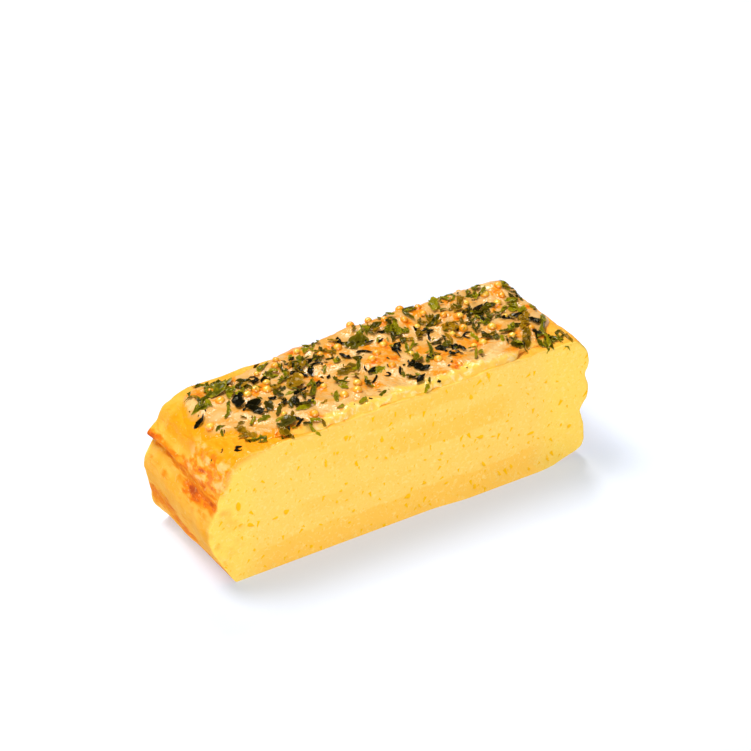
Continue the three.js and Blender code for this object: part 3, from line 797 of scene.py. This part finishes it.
def spots(x, y, rows):
    """The sum of round bells of height 1 at the rows' middles, with the rows' reaches."""
    return sum(hill(np.hypot(x - a, y - b) / reach) for a, b, reach in rows)


def top_bed(x, y):
    """The height of the egg's upper face, with its wrinkles, and with the rounding of its edge
    towards each cut."""
    past = np.clip((np.abs(y) - (WIDTH / 2 - EDGE_RADIUS[1])) / EDGE_RADIUS[1], 0, 1)
    height = egg_top(x, y) - EDGE_RADIUS[1] * (1 - np.sqrt(1 - past**2))
    return height + wrinkles(np.stack([x, y, height], axis=-1))


def wet_top(x, y):
    """The height of the cream's wet surface, and of the bare egg round it. The cream feathers
    out over a few millimetres at the front and the left, is lumpy, and swells at the roe. Where it
    ends it dips under the egg."""
    plan = np.stack([x, y, 0 * x], axis=-1)
    lobe = window(x, 22, 31, 2.5)
    ragged = 0.5 * noise(plan, 2.2, 23)
    front = smooth((y - cream_front(x) + ragged) / mix(1.5, 0.9, lobe))
    left = smooth((x - cream_left(y)) / 4.0)
    others = smooth((cream_back(x) - y) / 0.5) * smooth((cream_right(y) - x) / 1.0)
    lumps = 0.1 * noise(plan, 2.4, 21) + 0.04 * noise(plan, 1.0, 22)
    lumps = lumps + 0.2 * lobe * hill((y + 12.6) / 1.2) + 0.25 * spots(x, y, THICK_SPOTS)
    swell = ROE_SWELL * spots(x, y, [(a, b, SWELL_REACH) for a, b in ROE])
    thick = CREAM_GAP + cream_height(x, y) + lumps + swell
    share = front * left * others
    return top_bed(x, y) + thick * share - CREAM_LAID * (1 - smooth(share / 0.12))


def closed_pair(rows, columns):
    """Faces for an upper and a lower grid of vertices that share their rim: the lower grid's
    faces turn the other way and use the upper grid's rim. Returns them numbered without the
    lower rim, and which vertices of the two grids they use."""
    count = rows * columns
    own = np.arange(count, 2 * count).reshape(rows, columns)
    shared = np.arange(count).reshape(rows, columns)
    own[[0, -1], :] = shared[[0, -1], :]
    own[:, [0, -1]] = shared[:, [0, -1]]
    upper = grid_faces(rows, columns)
    faces = np.concatenate([upper, own.ravel()[upper][:, ::-1]])
    used, renumbered = np.unique(faces, return_inverse=True)
    return renumbered.reshape(faces.shape), used


def cream_paint():
    """Wet peach cream, slightly see-through, with orange oil, pale lumps, some of them painted glints,
    painted light with painted glints along its front edge, and, where it feathers out, the
    colour of the egg under it."""
    paint = Paint("cream")
    oil, pale, cover = (paint.field(name) for name in ("oil", "pale", "cover"))
    yolk, rim, stain_and_shade = (paint.field(name) for name in ("yolk", "rim", "stain_and_shade"))
    cloud = paint.grain(4.0, 3.0, 0.6)
    drops = paint.grain(1.4, 3.0, 0.8)
    speck = paint.grain(0.7, 2.0)
    peach = paint.blend(paint.ramp(cloud, 0.36, 0.66), linear(228, 182, 114), linear(222, 158, 66))
    # Pale lumps: the cream is thick at some of these spots, and at others they are painted glints.
    pale_and_glint_share = paint.sum("ADD", pale, paint.ramp(drops, 0.35, 0.7, -0.45, 0.3))
    peach = paint.blend(paint.ramp(pale_and_glint_share, 0.3, 0.8, 0.0, 0.7), peach, linear(246, 208, 138))
    pooled = paint.sum("ADD", oil, paint.ramp(drops, 0.35, 0.68, -0.5, 0.45))
    peach = paint.blend(paint.ramp(pooled, 0.12, 0.6, 0.0, 0.92), peach, linear(238, 142, 4))
    peach = paint.blend(paint.ramp(pooled, 0.75, 1.3, 0.0, 0.9), peach, linear(216, 96, 0))
    # Darker near the flakes: the stain of their juice, and painted shade from them.
    peach = paint.blend(paint.ramp(stain_and_shade, 0.4, 2.2, 0.0, 0.5), peach, linear(196, 130, 34))
    egg_colour = paint.blend(yolk, linear(244, 156, 12), linear(255, 200, 80))
    shown = paint.sum("ADD", cover, paint.ramp(drops, 0.3, 0.7, -0.3, 0.3))
    colour = paint.blend(paint.ramp(shown, 0.2, 0.75), egg_colour, peach)
    # Painted light along the front edge: lighter than its shading would show, with painted glints where
    # the drops peak.
    painted_front_light = paint.blend(paint.ramp(drops, 0.5, 0.68), linear(255, 200, 86), linear(255, 234, 172))
    colour = paint.blend(paint.ramp(rim, 0.0, 1.0, 0.0, 0.9), colour, painted_front_light)
    normal = paint.bumps(speck, 0.14, 0.6, paint.bumps(drops, 0.3, 0.6))
    return paint.finish(colour, normal, Roughness=0.07, Specular_IOR_Level=0.22)


u = np.sin(np.pi / 2 * np.linspace(-1, 1, CREAM_GRID[1]))
v = np.sin(np.pi / 2 * np.linspace(-1, 1, CREAM_GRID[0]))
x, y = cream_plan(*np.meshgrid(u, v))
cream_under = np.stack([x, y, top_bed(x, y) - 2 * CREAM_LAID], axis=-1)
cream_over = np.stack([x, y, wet_top(x, y)], axis=-1)
cream_over[[0, -1]] = cream_under[[0, -1]]
cream_over[:, [0, -1]] = cream_under[:, [0, -1]]
from_front = y - cream_front(x) + 1.6 * window(x, 22, 31, 2) + 0.5 * noise(cream_under, 2.2, 23)
cream_fields = {
    "oil": np.clip(spots(x, y, OIL_POOLS) + 0.5 * spots(x, y, [(a, b, 1.2) for a, b in ROE]), 0, 1.4),
    "pale": np.clip(spots(x, y, PALE_AND_GLINT_SPOTS + THICK_SPOTS), 0, 1),
    "cover": np.maximum(
        smooth((from_front - 0.6) / mix(1.2, 4.2, window(x, -18, 22, 4)))
        * smooth((x - cream_left(y) - 0.3) / 3.2),
        spots(x, y, THICK_SPOTS).clip(0, 1),
    ),
    "yolk": smooth((x + 31) / 5) * smooth((-8.5 - y) / 2),
    # The strip along the front edge that gets the painted light and painted glints.
    "rim": hill((y - cream_front(x) - 0.5) / 1.1) * window(x, -20, 33, 6),
}
cream_faces, used = closed_pair(*x.shape)
cream_places = np.concatenate([cream_over.reshape(-1, 3), cream_under.reshape(-1, 3)])[used]
cream = new_piece(
    "cream",
    cream_places,
    cream_faces,
    cream_paint(),
    "cream_topping",
    {name: np.tile(values.ravel(), 2)[used] for name, values in cream_fields.items()},
)

# ---------------------------------------------------------------- roe
# Grains of fish roe about two millimetres across, shiny and slightly see-through, dropped on the
# cream and half sunk in it.

ROE_RADIUS = (0.82, 1.12)
ROE_SHOWS = -0.08  # how far the middle of a grain is above the cream, in radii
ROE_SQUASH = 0.94  # height of a grain for its width
ROE_GRID = (10, 16)  # steps of latitude and of longitude
ROE_LOOSE = 8  # smaller grains added in random places
LOOSE_SIZE = 0.78
ROE_SEED = 12


def roe_places():
    """Middle and radius of each grain: the larger ones first, then loose ones, each in the
    roomiest of a few random places. Those on the bank at the back sit higher."""
    draw = np.random.default_rng(ROE_SEED)
    middles = list(ROE)
    while len(middles) < len(ROE) + ROE_LOOSE:
        tries = [cream_plan(*draw.uniform(-0.9, 0.9, 2)) for _ in range(6)]
        middles.append(max(tries, key=lambda p: min(math.dist(p, q) for q in middles)))
    x, y = np.array(middles, dtype=float).T
    radius = draw.uniform(*ROE_RADIUS, len(x))
    radius[len(ROE):] *= LOOSE_SIZE
    height = wet_top(x, y) + ROE_SHOWS * radius + 0.2 * smooth((y - 13.2) / 0.8)
    return np.stack([x, y, height], axis=1), radius


def balls(middles, radii, grid, squash):
    """Closed balls as one mesh: rings of latitude between two poles of one vertex each, with
    their height multiplied by squash."""
    rings, around = grid
    lat = np.pi * np.arange(1, rings) / rings
    lon = 2 * np.pi * np.arange(around) / around
    ring = np.stack([
        np.outer(np.sin(lat), np.cos(lon)),
        np.outer(np.sin(lat), np.sin(lon)),
        np.outer(np.cos(lat), np.ones(around)),
    ], axis=-1).reshape(-1, 3)
    unit = np.concatenate([ring, [[0, 0, 1], [0, 0, -1]]]) * [1, 1, squash]
    step = np.arange(around)
    following = (step + 1) % around
    last = (rings - 2) * around
    north = np.stack([step, following, np.full(around, len(ring))], axis=1)
    south = np.stack([last + following, last + step, np.full(around, len(ring) + 1)], axis=1)
    body = grid_faces(rings - 1, around, wrap=True)[:, ::-1]
    base = np.arange(len(middles))[:, None, None] * len(unit)
    faces = (base + body).reshape(-1, 4).tolist()
    faces += (base + np.concatenate([north, south])).reshape(-1, 3).tolist()
    return middles[:, None, :] + radii[:, None, None] * unit, np.array(faces, dtype=object)


def roe_paint():
    """Golden roe, a deeper orange in places, with painted light and shade: lighter towards the top, and
    a deeper orange lower down where it sinks into the cream.
    """
    paint = Paint("roe")
    warm = paint.ramp(paint.grain(3.0, 1.0), 0.42, 0.62)
    colour = paint.blend(warm, linear(255, 199, 66), linear(254, 160, 10))
    # Painted light and shade: lighter towards the top of each grain, a deeper orange lower down.
    colour = paint.blend(paint.ramp(paint.field("light_by_height"), -0.1, 0.6), linear(250, 142, 8), colour)
    return paint.finish(
        colour,
        Roughness=0.2,
        Specular_IOR_Level=1.0,
        Subsurface_Weight=0.5,
        Subsurface_Radius=(1.0, 0.6, 0.15),
        Subsurface_Scale=1.0 * MM,
    )


roe_middles, roe_radii = roe_places()
roe_mesh, roe_faces = balls(roe_middles, roe_radii, ROE_GRID, ROE_SQUASH)
# Height on each grain, from -1 at the bottom to 1 at the top, for its painted light and shade.
light_by_height = (roe_mesh[..., 2] - roe_middles[:, None, 2]) / roe_radii[:, None]
roe = new_piece("roe", roe_mesh, roe_faces, roe_paint(), "cream_topping", {"light_by_height": light_by_height})

# ---------------------------------------------------------------- flakes
# Torn flakes of dried green herb and of dried seaweed, dark green to black, softened by the cream
# and heaped on one another. Small bits have broken off them.

# The larger flakes by kind: middle along X and Y, length, width, the way the length points in
# degrees from X, and for a curled one how far it bends along its length, in degrees.
FLAKES = {
    "herb": [
        (-33.6, 12.2, 5.4, 1.9, -5), (-33.4, 10.8, 4.6, 2.2, 10), (-35, 13, 3.4, 1.4, -8),
        (-31.6, 12.8, 2.8, 1.5, 5), (-35.2, 9.8, 2.8, 1.5, 40), (-31.4, 10.2, 3.2, 1.6, 60),
        (-32.8, 8.8, 6.2, 3.2, 42), (-37, 7, 5.6, 1.1, 33), (-32, 6.4, 4.4, 1.7, 58),
        (-39.8, 4.8, 3.8, 1.8, -22), (-38, 5, 1.9, 1.3, 85), (-39.2, 8.4, 4.4, 0.35, -58, -75),
        (-35.9, -0.2, 4.2, 0.9, 52), (-34.4, 2.4, 2.4, 0.8, 55), (-29.3, 5, 3.8, 1, 62),
        (-39.9, -3.3, 1.8, 0.9, -20), (-40.2, -4.7, 1.2, 0.6, 85), (-34.2, -3.6, 1.4, 0.8, -60),
        (-33.1, -5.7, 2.8, 0.8, 38), (-30.6, -6, 2.5, 1.9, 30), (-36.3, -10.2, 2.4, 1.3, -20),
        (-34.4, -11.4, 2.6, 1.9, -15), (-27.3, -8.2, 3, 1, -5), (-27.1, 6.5, 1.2, 0.9, 0),
        (-25.4, 5.2, 1.6, 0.7, -55), (-20.6, 11.6, 4, 1.7, 46), (-20.9, 8.4, 2.8, 1, 20),
        (-20.2, 7.1, 1.9, 0.8, -10), (-17.5, 8.6, 2.4, 1, 80), (-13.8, 10.6, 2.2, 0.9, 62),
        (-11.7, 9.4, 1.2, 0.8, 30), (-19.7, 4.7, 3.2, 0.8, 42), (-20.9, -1.3, 2.4, 1.3, -5),
        (-15, 0.3, 2.3, 0.7, 25), (-15.9, -3, 6.4, 0.9, 53), (-21.4, -7.6, 3.2, 1.2, -10),
        (-22.8, -14.6, 2.6, 0.8, -58), (-13.1, -7.4, 4.4, 1.1, 62), (-14.5, -11.6, 1.3, 1.2, 20),
        (-9, -12.1, 2.8, 1.2, 28), (-3.7, -11.6, 2.2, 0.9, 22), (-9.6, -4.9, 1.9, 1.3, 100),
        (-7.4, -2.5, 1.4, 0.8, 20), (-5, -3.1, 2, 0.9, 85), (-3.9, -5.8, 4.4, 0.8, 80),
        (-9.4, 3.2, 2.8, 0.6, 48), (-5.5, 4.3, 1.8, 1.3, 20), (-8.9, 12.2, 1.6, 1.4, 10),
        (-8, 10.9, 1.1, 0.7, 80), (-6.2, 12.6, 3, 0.4, 40), (-2.3, 0.3, 3.7, 0.9, 55),
        (4.6, 11, 2, 1, 15), (6.2, 10.6, 2.4, 0.9, 60), (6.2, 12.8, 2.8, 0.4, 70),
        (12.4, 8.7, 3.4, 1.2, 40), (13.3, 6.9, 3.2, 1.3, -55), (10.4, 8.4, 1.5, 1, 80),
        (12.7, 13, 1.1, 0.9, 0), (19.1, 12.4, 2.2, 1.6, 20), (10.5, 0, 4.8, 0.9, 66),
        (12.7, 1.7, 4.2, 0.7, 46), (4.3, -7.8, 1.7, 0.9, 75), (0.4, -3.1, 3.2, 2.2, 0),
        (12.2, -5.4, 2.8, 0.9, 55), (9.9, -3.6, 2.4, 0.5, 62), (22.2, -9.7, 4.2, 1, 58),
        (15.3, -2.2, 6.8, 0.9, 64), (7, -9.3, 1.4, 0.8, 85), (6.2, -14.2, 1.5, 1.1, 40),
        (25, 11.6, 4.2, 2.1, 75), (25, 10, 1.6, 0.8, 0), (28.8, 12.8, 1.1, 0.9, 0),
        (31, 12.4, 4.2, 0.8, 100, 220), (37.1, 12.9, 1.8, 1.2, 75), (43.2, 10.3, 3.5, 1.3, -55),
        (35, 10.5, 4.6, 1.3, 3), (31.4, 1, 2.6, 1, 65), (33.4, 1.6, 3, 0.8, 60), (34.6, 2, 1.6, 0.8, 50),
        (41, 2.6, 3.8, 1.9, 45), (38.2, 2.7, 3.6, 0.7, 28), (42.2, 0.6, 2.2, 1.5, 30),
        (34.6, -5.1, 4, 1.6, 15), (43, -6.3, 5.6, 1.6, 56), (31.2, -7.1, 2.6, 1.2, 70),
        (40.6, -9.5, 3, 1.8, 60), (42.7, -12.6, 5.8, 2.6, 102), (38.8, -13.8, 3.2, 1.1, 72),
        (26.4, -3.3, 3, 0.8, 95),
    ],
    "olive": [
        (-35.6, -5, 1.5, 1.1, 30), (-36.5, -7, 2.2, 1.5, 100), (-35.4, -8.9, 2.4, 1.3, -30),
        (-22.8, 2.8, 2.8, 2.3, 30), (-17.8, 2.2, 4.8, 3.4, 60), (-28.8, -13.6, 2.6, 1.2, -40),
        (-14.3, 6.6, 2.4, 1.6, 40), (-5.5, 0.6, 5.4, 3, 10), (-3.8, 8.3, 2.4, 1.1, 60),
        (-5.7, 9.6, 1.8, 0.8, 20), (13.4, 3.8, 2, 1.2, 10), (16.2, 4.1, 2, 1.7, 30),
        (18.8, 7.1, 1.3, 1.1, 0), (21.3, -0.8, 4.8, 1, 80), (23.6, 3.4, 2.4, 1.6, 40),
        (24.2, 1.6, 2.4, 1.5, 10), (30.9, 9.9, 3.3, 1.1, 50), (27, 2.4, 3, 1, 25),
        (29, 7.8, 2.2, 1.4, 30), (36.1, -9.6, 6.4, 1.7, 56), (38.1, -5.5, 3, 1.5, 30),
        (40, -2.7, 5.2, 2.3, 50), (5.2, -9.7, 1.8, 0.5, 10), (45, -0.2, 1.5, 0.7, 50),
        (45.2, -12.4, 4.4, 0.8, 95), (8.2, 10, 1.6, 0.8, 30),
    ],
    "dark": [
        (-26.7, 8.5, 3.3, 1, -30), (-28.6, 7.7, 2.4, 0.8, 10), (-27.2, -2.8, 3.1, 1.8, 70),
        (-26.3, -5.3, 4.2, 1.1, 48), (-27.4, -10.4, 4.8, 3, 20), (-23.2, 0.7, 1.8, 1.5, 30),
        (-21.1, 1.5, 1.7, 1, 20), (-22.5, -4.6, 3.4, 2, 40), (-20.7, -6.2, 3.2, 2.2, -20),
        (-19, -3.5, 3.2, 0.9, 80), (-12.8, 8.2, 2.2, 1.2, 10), (-12.2, 7.3, 2.2, 1.1, 90),
        (-16.6, -2.8, 4.6, 0.6, 52), (2.2, 8.3, 5.6, 3.1, 5), (-8.4, 8.1, 2, 0.8, 30),
        (-8, 7.5, 1.5, 0.9, -20), (-0.7, 2.8, 2.2, 1.6, 30), (-6.2, 6.2, 2, 0.6, -10),
        (10.8, 6.7, 3.9, 1.1, 65), (12.2, 10.4, 2.2, 0.7, 85), (17.5, 12.2, 5.2, 1.2, 58, -95),
        (11.6, 3.8, 1.7, 1.3, 20), (19, -2.7, 2.8, 1.7, 45), (19, 0.2, 1.6, 1.3, 20),
        (21.6, 6.5, 4.5, 2.2, 30), (28.2, 2, 2.3, 1, 20), (28.2, -0.2, 4, 0.9, 62),
        (29, -4.3, 3.4, 2.1, 105), (30.3, -6.1, 2, 1.3, 60), (30.8, 6.4, 3, 1.1, 10),
        (29.8, 4.2, 1.7, 1.3, 20), (35.4, 5.3, 2.6, 1.4, 10), (32.6, 4, 4, 1.4, 35),
        (43, 5.9, 2.6, 1.1, 100), (37, -4.4, 3.6, 1.5, -5), (32.4, -11.2, 2.6, 1.7, -20),
        (35.6, 1, 1.6, 1.4, 0), (37.4, 10.3, 1.2, 1, 0), (45, 7.4, 2.3, 0.7, 80),
        (31.3, -9, 1.6, 0.7, 65), (40.1, -13.6, 3, 0.6, 70), (43.8, -12.2, 1.4, 0.5, 10),
        (-9, -2.6, 4.3, 0.45, -66), (44.8, 4.6, 1.1, 0.8, 40),
    ],
    "black": [
        (-42, 1.9, 1.9, 1.5, 20), (-32.2, 2, 5.4, 2.5, 65), (-30.3, -0.8, 4.4, 1.9, 15),
        (-30.5, -2.9, 3.4, 1.8, -50), (-25.2, -0.8, 1.8, 0.8, -20), (-25.3, -9.5, 4, 1.3, -50),
        (-25.1, -11.8, 3.4, 0.9, 38), (-28.5, -13, 2.2, 0.5, 45), (-24.5, 9.1, 1.5, 0.6, 0),
        (-24.9, 7.1, 2.6, 0.9, 35), (-22.9, 6.9, 2.6, 0.8, 38), (-17.1, 7.4, 1.4, 0.7, 0),
        (-16.3, 5.6, 1.1, 0.9, 0), (-14.9, 8.8, 2.2, 0.8, -20), (-10, 7.9, 3.2, 1.2, 15),
        (-10.2, 5.9, 2.6, 0.7, -8), (-12.5, 4.2, 2.9, 1.4, 50), (-14.3, 3.6, 1.4, 0.8, -10),
        (-12.7, -1, 1.2, 0.9, 70), (-18.9, -1.9, 4.4, 0.8, 22), (-18.9, -6.4, 2, 1.2, -10),
        (-21.8, -5.2, 3, 1.5, 70), (-23.8, -3.8, 2, 0.8, 45), (-2, -6, 3.3, 0.5, 38),
        (-2.8, 5, 2.7, 1.3, -50), (-1.5, 9.7, 3, 0.8, -70, 110), (2, 5, 3.6, 0.9, -28, -75),
        (9, 8.6, 1.2, 1.1, 0), (7.3, 6.4, 1.2, 0.9, 0), (9.3, 2.6, 2.5, 1.5, 20),
        (7.9, 0.1, 4.2, 0.6, 72), (4.3, -6.5, 2.8, 0.8, 58), (6.3, -11.4, 2.8, 1.9, 22),
        (8, -5.3, 2.3, 1.8, 50), (9.2, -7.4, 3.4, 2.2, -52), (17.8, 2.7, 3.4, 0.6, 60),
        (18.5, 4.9, 1.3, 0.9, 80), (13.5, -5.4, 1.8, 0.7, 25, 120), (17, -3.8, 2.5, 1.3, -45),
        (20.3, -4.6, 2.1, 1.7, 10), (19.3, -6.8, 2.1, 0.6, 8, 95), (24.6, -1.3, 2.6, 0.6, 55, -150),
        (34, 6.8, 3, 0.9, 12), (31.8, 2, 2.2, 1.3, 75), (38.2, -0.4, 4.2, 2, -20),
        (41.4, -5.1, 3.1, 1.1, -62), (38.6, -9.9, 3.3, 0.9, 62), (34, -11.6, 2, 0.5, 60),
        (41.2, -11.6, 1.6, 0.9, 40), (-0.9, -2.8, 2.4, 0.9, 15), (5.2, 7.5, 1.7, 1, 0),
        (-10, 0.6, 1.2, 0.7, 20), (-41, -11.6, 2.2, 0.9, -122, 230), (-40.2, -11.4, 1, 0.7, -20, 60),
        (1.7, -6.3, 1.7, 0.5, 40, 170), (-42.8, -9, 0.8, 0.5, 50), (-45.2, -8.4, 0.5, 0.4, 40),
        (-36.2, -14.4, 0.4, 0.4, 0), (16, -9.4, 0.6, 0.5, 30), (14.6, -10.3, 0.6, 0.4, 0),
        (9.7, -13.8, 0.7, 0.5, 20),
    ],
}
FLAKE_THICK = 0.16
SPREAD_OUT = (1.06, 1.12)  # how much longer and wider they are once they are wet
FLAKE_GRID = (5, 8)  # vertices across and along each face of a flake
LEAST_LIFT = 0.1
STACK_STEP = 0.13  # how far a flake is lifted by each one under it
STACK_MOST = 5
STACK_REACH = 0.27  # it lies on those whose middles are nearer than this share of both lengths
SCRAPS = 1.7  # torn scraps lying on and beside the larger flakes, for each of them
SCRAP_LONG = (0.8, 2.6)
SCRAP_SCATTER = 0.85
SCRAP_SAME = 0.6  # share of the scraps that are of the kind they lie on
SCRAP_AREA = ((-40.0, -12.8), (44.8, 12.6))  # least and most along X and Y
BITS = {"herb": 44, "olive": 22, "dark": 28, "black": 18}
BIT_LONG = (0.4, 1.3)
BIT_SCATTER = (2.4, 2.0)
BIT_LIFT = 0.06
LAYOUT_SEED = 77
SHAPE_SEED = 100  # of the first kind, and one more for each kind after it
WIDE_FLAKE = 1.6  # wider ones lie flatter and curl no more
STAIN_AND_SHADE_REACH = 0.4  # of the juice stain and painted shade round a flake, in its lengths
FLAKE_COLOURS = {  # of two tones, and of a torn rim that is also lightened by painted light shining through it
    "herb": (linear(146, 134, 6), linear(74, 72, 2), linear(176, 156, 26)),
    "olive": (linear(160, 114, 6), linear(104, 78, 2), linear(188, 142, 30)),
    "dark": (linear(88, 78, 2), linear(52, 44, 2), linear(124, 104, 12)),
    "black": (linear(10, 9, 2), linear(26, 22, 3), linear(54, 46, 8)),
}


def flake_bed(x, y):
    """The height at which flakes lie: the wet surface, and past the front cut's edge a fall."""
    inside = np.clip(y, -WIDTH / 2 + 0.8, WIDTH / 2 - 0.6)
    past = np.maximum(inside - y, 0)
    return wet_top(x, inside) - 0.35 * past**1.5


def crowding(x, y, long):
    """The weight of a flake when a scrap is laid on one of them: most at the right end and along
    the back, few at the left end, and none for the smallest."""
    return (long > 1) * (1.0 + (x > 18) + (y > 4) - 0.7 * (x < -30))


def flake_rows():
    """The larger flakes, scraps on them and small bits near them, as rows of: kind, x, y, lift,
    length, width, yaw and bend. A flake is lifted by those before it whose lengths reach it."""
    draw = np.random.default_rng(LAYOUT_SEED)
    rows = []
    for kind, flakes in FLAKES.items():
        for x, y, long, wide, yaw, *bend in flakes:
            long, wide = long * SPREAD_OUT[0], wide * SPREAD_OUT[1]
            near = [math.dist((x, y), row[1:3]) < STACK_REACH * (long + row[4]) for row in rows]
            under = sum(near)
            lift = LEAST_LIFT + STACK_STEP * min(under, STACK_MOST)
            turn = bend[0] if bend else draw.normal(0, 16)
            rows.append((kind, x, y, lift, long, wide, math.radians(yaw), math.radians(turn)))
    large = len(rows)
    crowd = np.array([crowding(*row[1:3], row[4]) for row in rows])
    for _ in range(int(SCRAPS * large)):
        host = rows[draw.choice(large, p=crowd / crowd.sum())]
        same = draw.random() < SCRAP_SAME
        kind = host[0] if same else str(draw.choice(["herb", "olive", "dark"]))
        x, y = np.clip(host[1:3] + draw.normal(0, SCRAP_SCATTER, 2), *SCRAP_AREA)
        long = mix(*SCRAP_LONG, draw.random() ** 1.3)
        wide = long * draw.uniform(0.25, 0.65)
        lift = LEAST_LIFT + STACK_STEP * draw.integers(1, STACK_MOST)
        rows.append((kind, x, y, lift, long, wide, draw.uniform(0, 6.3), draw.normal(0, 0.4)))
    for kind, count in BITS.items():
        for _ in range(count):
            host = rows[draw.integers(large)]
            x, y = (host[1 + k] + draw.normal(0, BIT_SCATTER[k]) for k in (0, 1))
            x = float(np.clip(x, cream_left(y) + 0.6, cream_right(y) - 0.6))
            y = float(np.clip(y, -14.0, cream_back(x) - 0.5))
            long = mix(*BIT_LONG, draw.random() ** 1.4)
            wide = long * draw.uniform(0.3, 0.9)
            yaw, turn = draw.uniform(0, 6.3), draw.normal(0, 0.4)
            rows.append((kind, x, y, BIT_LIFT, long, wide, yaw, turn))
    return rows


def shards(rows, seed):
    """Thin closed shards as one mesh. Each is a grid of u and v from -1 to 1. u runs along a
    circular arc of the row's length and bend. v runs across between two torn outlines, which
    taper to the ends and step at random from column to column. The sheet is tilted, curled both
    ways and laid on the flake bed; its two faces are apart in the middle and meet at the rim."""
    draw = np.random.default_rng(seed)
    n = len(rows)
    columns = np.array([row[1:] for row in rows], dtype=float).T[:, :, None, None]
    x, y, lift, long, wide, yaw, bend = columns
    across, along = FLAKE_GRID
    v, u = np.meshgrid(np.linspace(-1, 1, across), np.linspace(-1, 1, along), indexing="ij")

    def number(low, high, count=1):
        """Random numbers: one for each shard, or one for each column of its grid."""
        return draw.uniform(low, high, (n, 1, count))

    tip = number(0.05, 0.75)
    taper = tip + (1 - tip) * np.clip(1 - np.abs(u) ** number(1.5, 6.0), 0, 1) ** 0.7
    torn = np.where(v > 0, number(-0.36, 0.2, along), number(-0.36, 0.2, along))
    side = wide / 2 * v * taper * (1 + torn)
    slant = number(-0.7, 0.7) * wide / long * v
    uneven = np.where(np.abs(u) < 0.99, number(-0.06, 0.06, along), 0)
    run = long / 2 * (u + slant * np.abs(u) + uneven)
    turned = bend * run / long
    arc_x = run * np.sinc(turned / np.pi) - side * np.sin(2 * turned)
    arc_y = run * turned * np.sinc(turned / 2 / np.pi) ** 2 + side * np.cos(2 * turned)

    pitch = number(-1, 1)
    steep = 0.05 + 0.3 * np.abs(pitch) + 0.4 * np.abs(pitch) ** 8
    pitch = np.sign(pitch) * steep / np.maximum(wide / WIDE_FLAKE, 1)
    curl = number(-0.04, 0.09) * long * u * u
    curl = curl + number(-0.15, 0.25) * np.minimum(wide, WIDE_FLAKE) * v * v
    waves = np.sin(number(2, 6) * u + number(0, 6)) * np.sin(number(1, 4) * v + number(0, 6))
    crumple = 0.05 * np.sqrt(long) * waves
    crumple = crumple + 0.09 * wide**0.7 * draw.uniform(-1, 1, (n, across, along))
    height = lift + side * np.sin(pitch) + 0.5 * wide / 2 * np.abs(np.sin(pitch))
    height = height + curl + crumple
    body = FLAKE_THICK / 2 * np.minimum(1, long / 2) * (1 - u**6) * (1 - v**4)
    at_x = x + arc_x * np.cos(yaw) - arc_y * np.cos(pitch) * np.sin(yaw)
    at_y = y + arc_x * np.sin(yaw) + arc_y * np.cos(pitch) * np.cos(yaw)
    middle = flake_bed(at_x, at_y) + height

    faces, used = closed_pair(across, along)
    sheets = [np.stack([at_x, at_y, middle + part], axis=-1) for part in (body, -body)]
    places = np.concatenate([sheet.reshape(n, -1, 3) for sheet in sheets], axis=1)[:, used]
    # The rim of each shard, where the colour is lighter: partly the torn edge's own colour, partly
    # painted light through it.
    rim = np.maximum(np.abs(v) ** 3, np.abs(u) ** 7).ravel()
    fields = {
        "tone": np.repeat(draw.random(n), len(used)),
        "rim": np.tile(np.tile(rim, 2)[used], n),
    }
    faces = np.arange(n)[:, None, None] * len(used) + faces
    return places.reshape(-1, 3), faces.reshape(-1, 4), fields


def flake_paint(kind):
    """A moist leaf: its own tone for each flake, a little mottled, lighter at its torn rim, partly as
    painted light shining through the thin edge.
    """
    paint = Paint(kind)
    light, dark, rim = FLAKE_COLOURS[kind]
    mottle = paint.ramp(paint.grain(0.8, 3.0), 0.3, 0.7, -0.35, 0.35)
    mottle = paint.sum("ADD", mottle, paint.field("tone"))
    colour = paint.blend(paint.ramp(mottle, 0.1, 0.9), light, dark)
    # The rim is lighter: partly the torn edge's own colour, partly painted light shining through it.
    colour = paint.blend(paint.ramp(paint.field("rim"), 0.4, 1.0, 0.0, 0.6), colour, rim)
    normal = paint.bumps(paint.grain(0.5, 3.0, 0.5), 0.08, 0.6)
    return paint.finish(
        colour,
        normal,
        Roughness=0.12,
        Specular_IOR_Level=0.16,
        Specular_Tint=(1, 0.9, 0.6, 1),
    )


all_rows = flake_rows()

# The cream close to the flakes is darker: stained by their juice, and with painted shade from them.
stain_and_shade_spots = [(x, y, STAIN_AND_SHADE_REACH * long) for _, x, y, _, long, *_ in all_rows]
stain_and_shade = spots(*cream_places[:, :2].T, stain_and_shade_spots)
cream.data.attributes.new("stain_and_shade", "FLOAT", "POINT").data.foreach_set("value", stain_and_shade.astype(np.float32))

for seed, kind in enumerate(FLAKES):
    places, faces, fields = shards([row for row in all_rows if row[0] == kind], SHAPE_SEED + seed)
    paint = flake_paint(kind)
    new_piece(f"{kind}_flakes", places, faces, paint, "cream_topping", fields, soft=False)
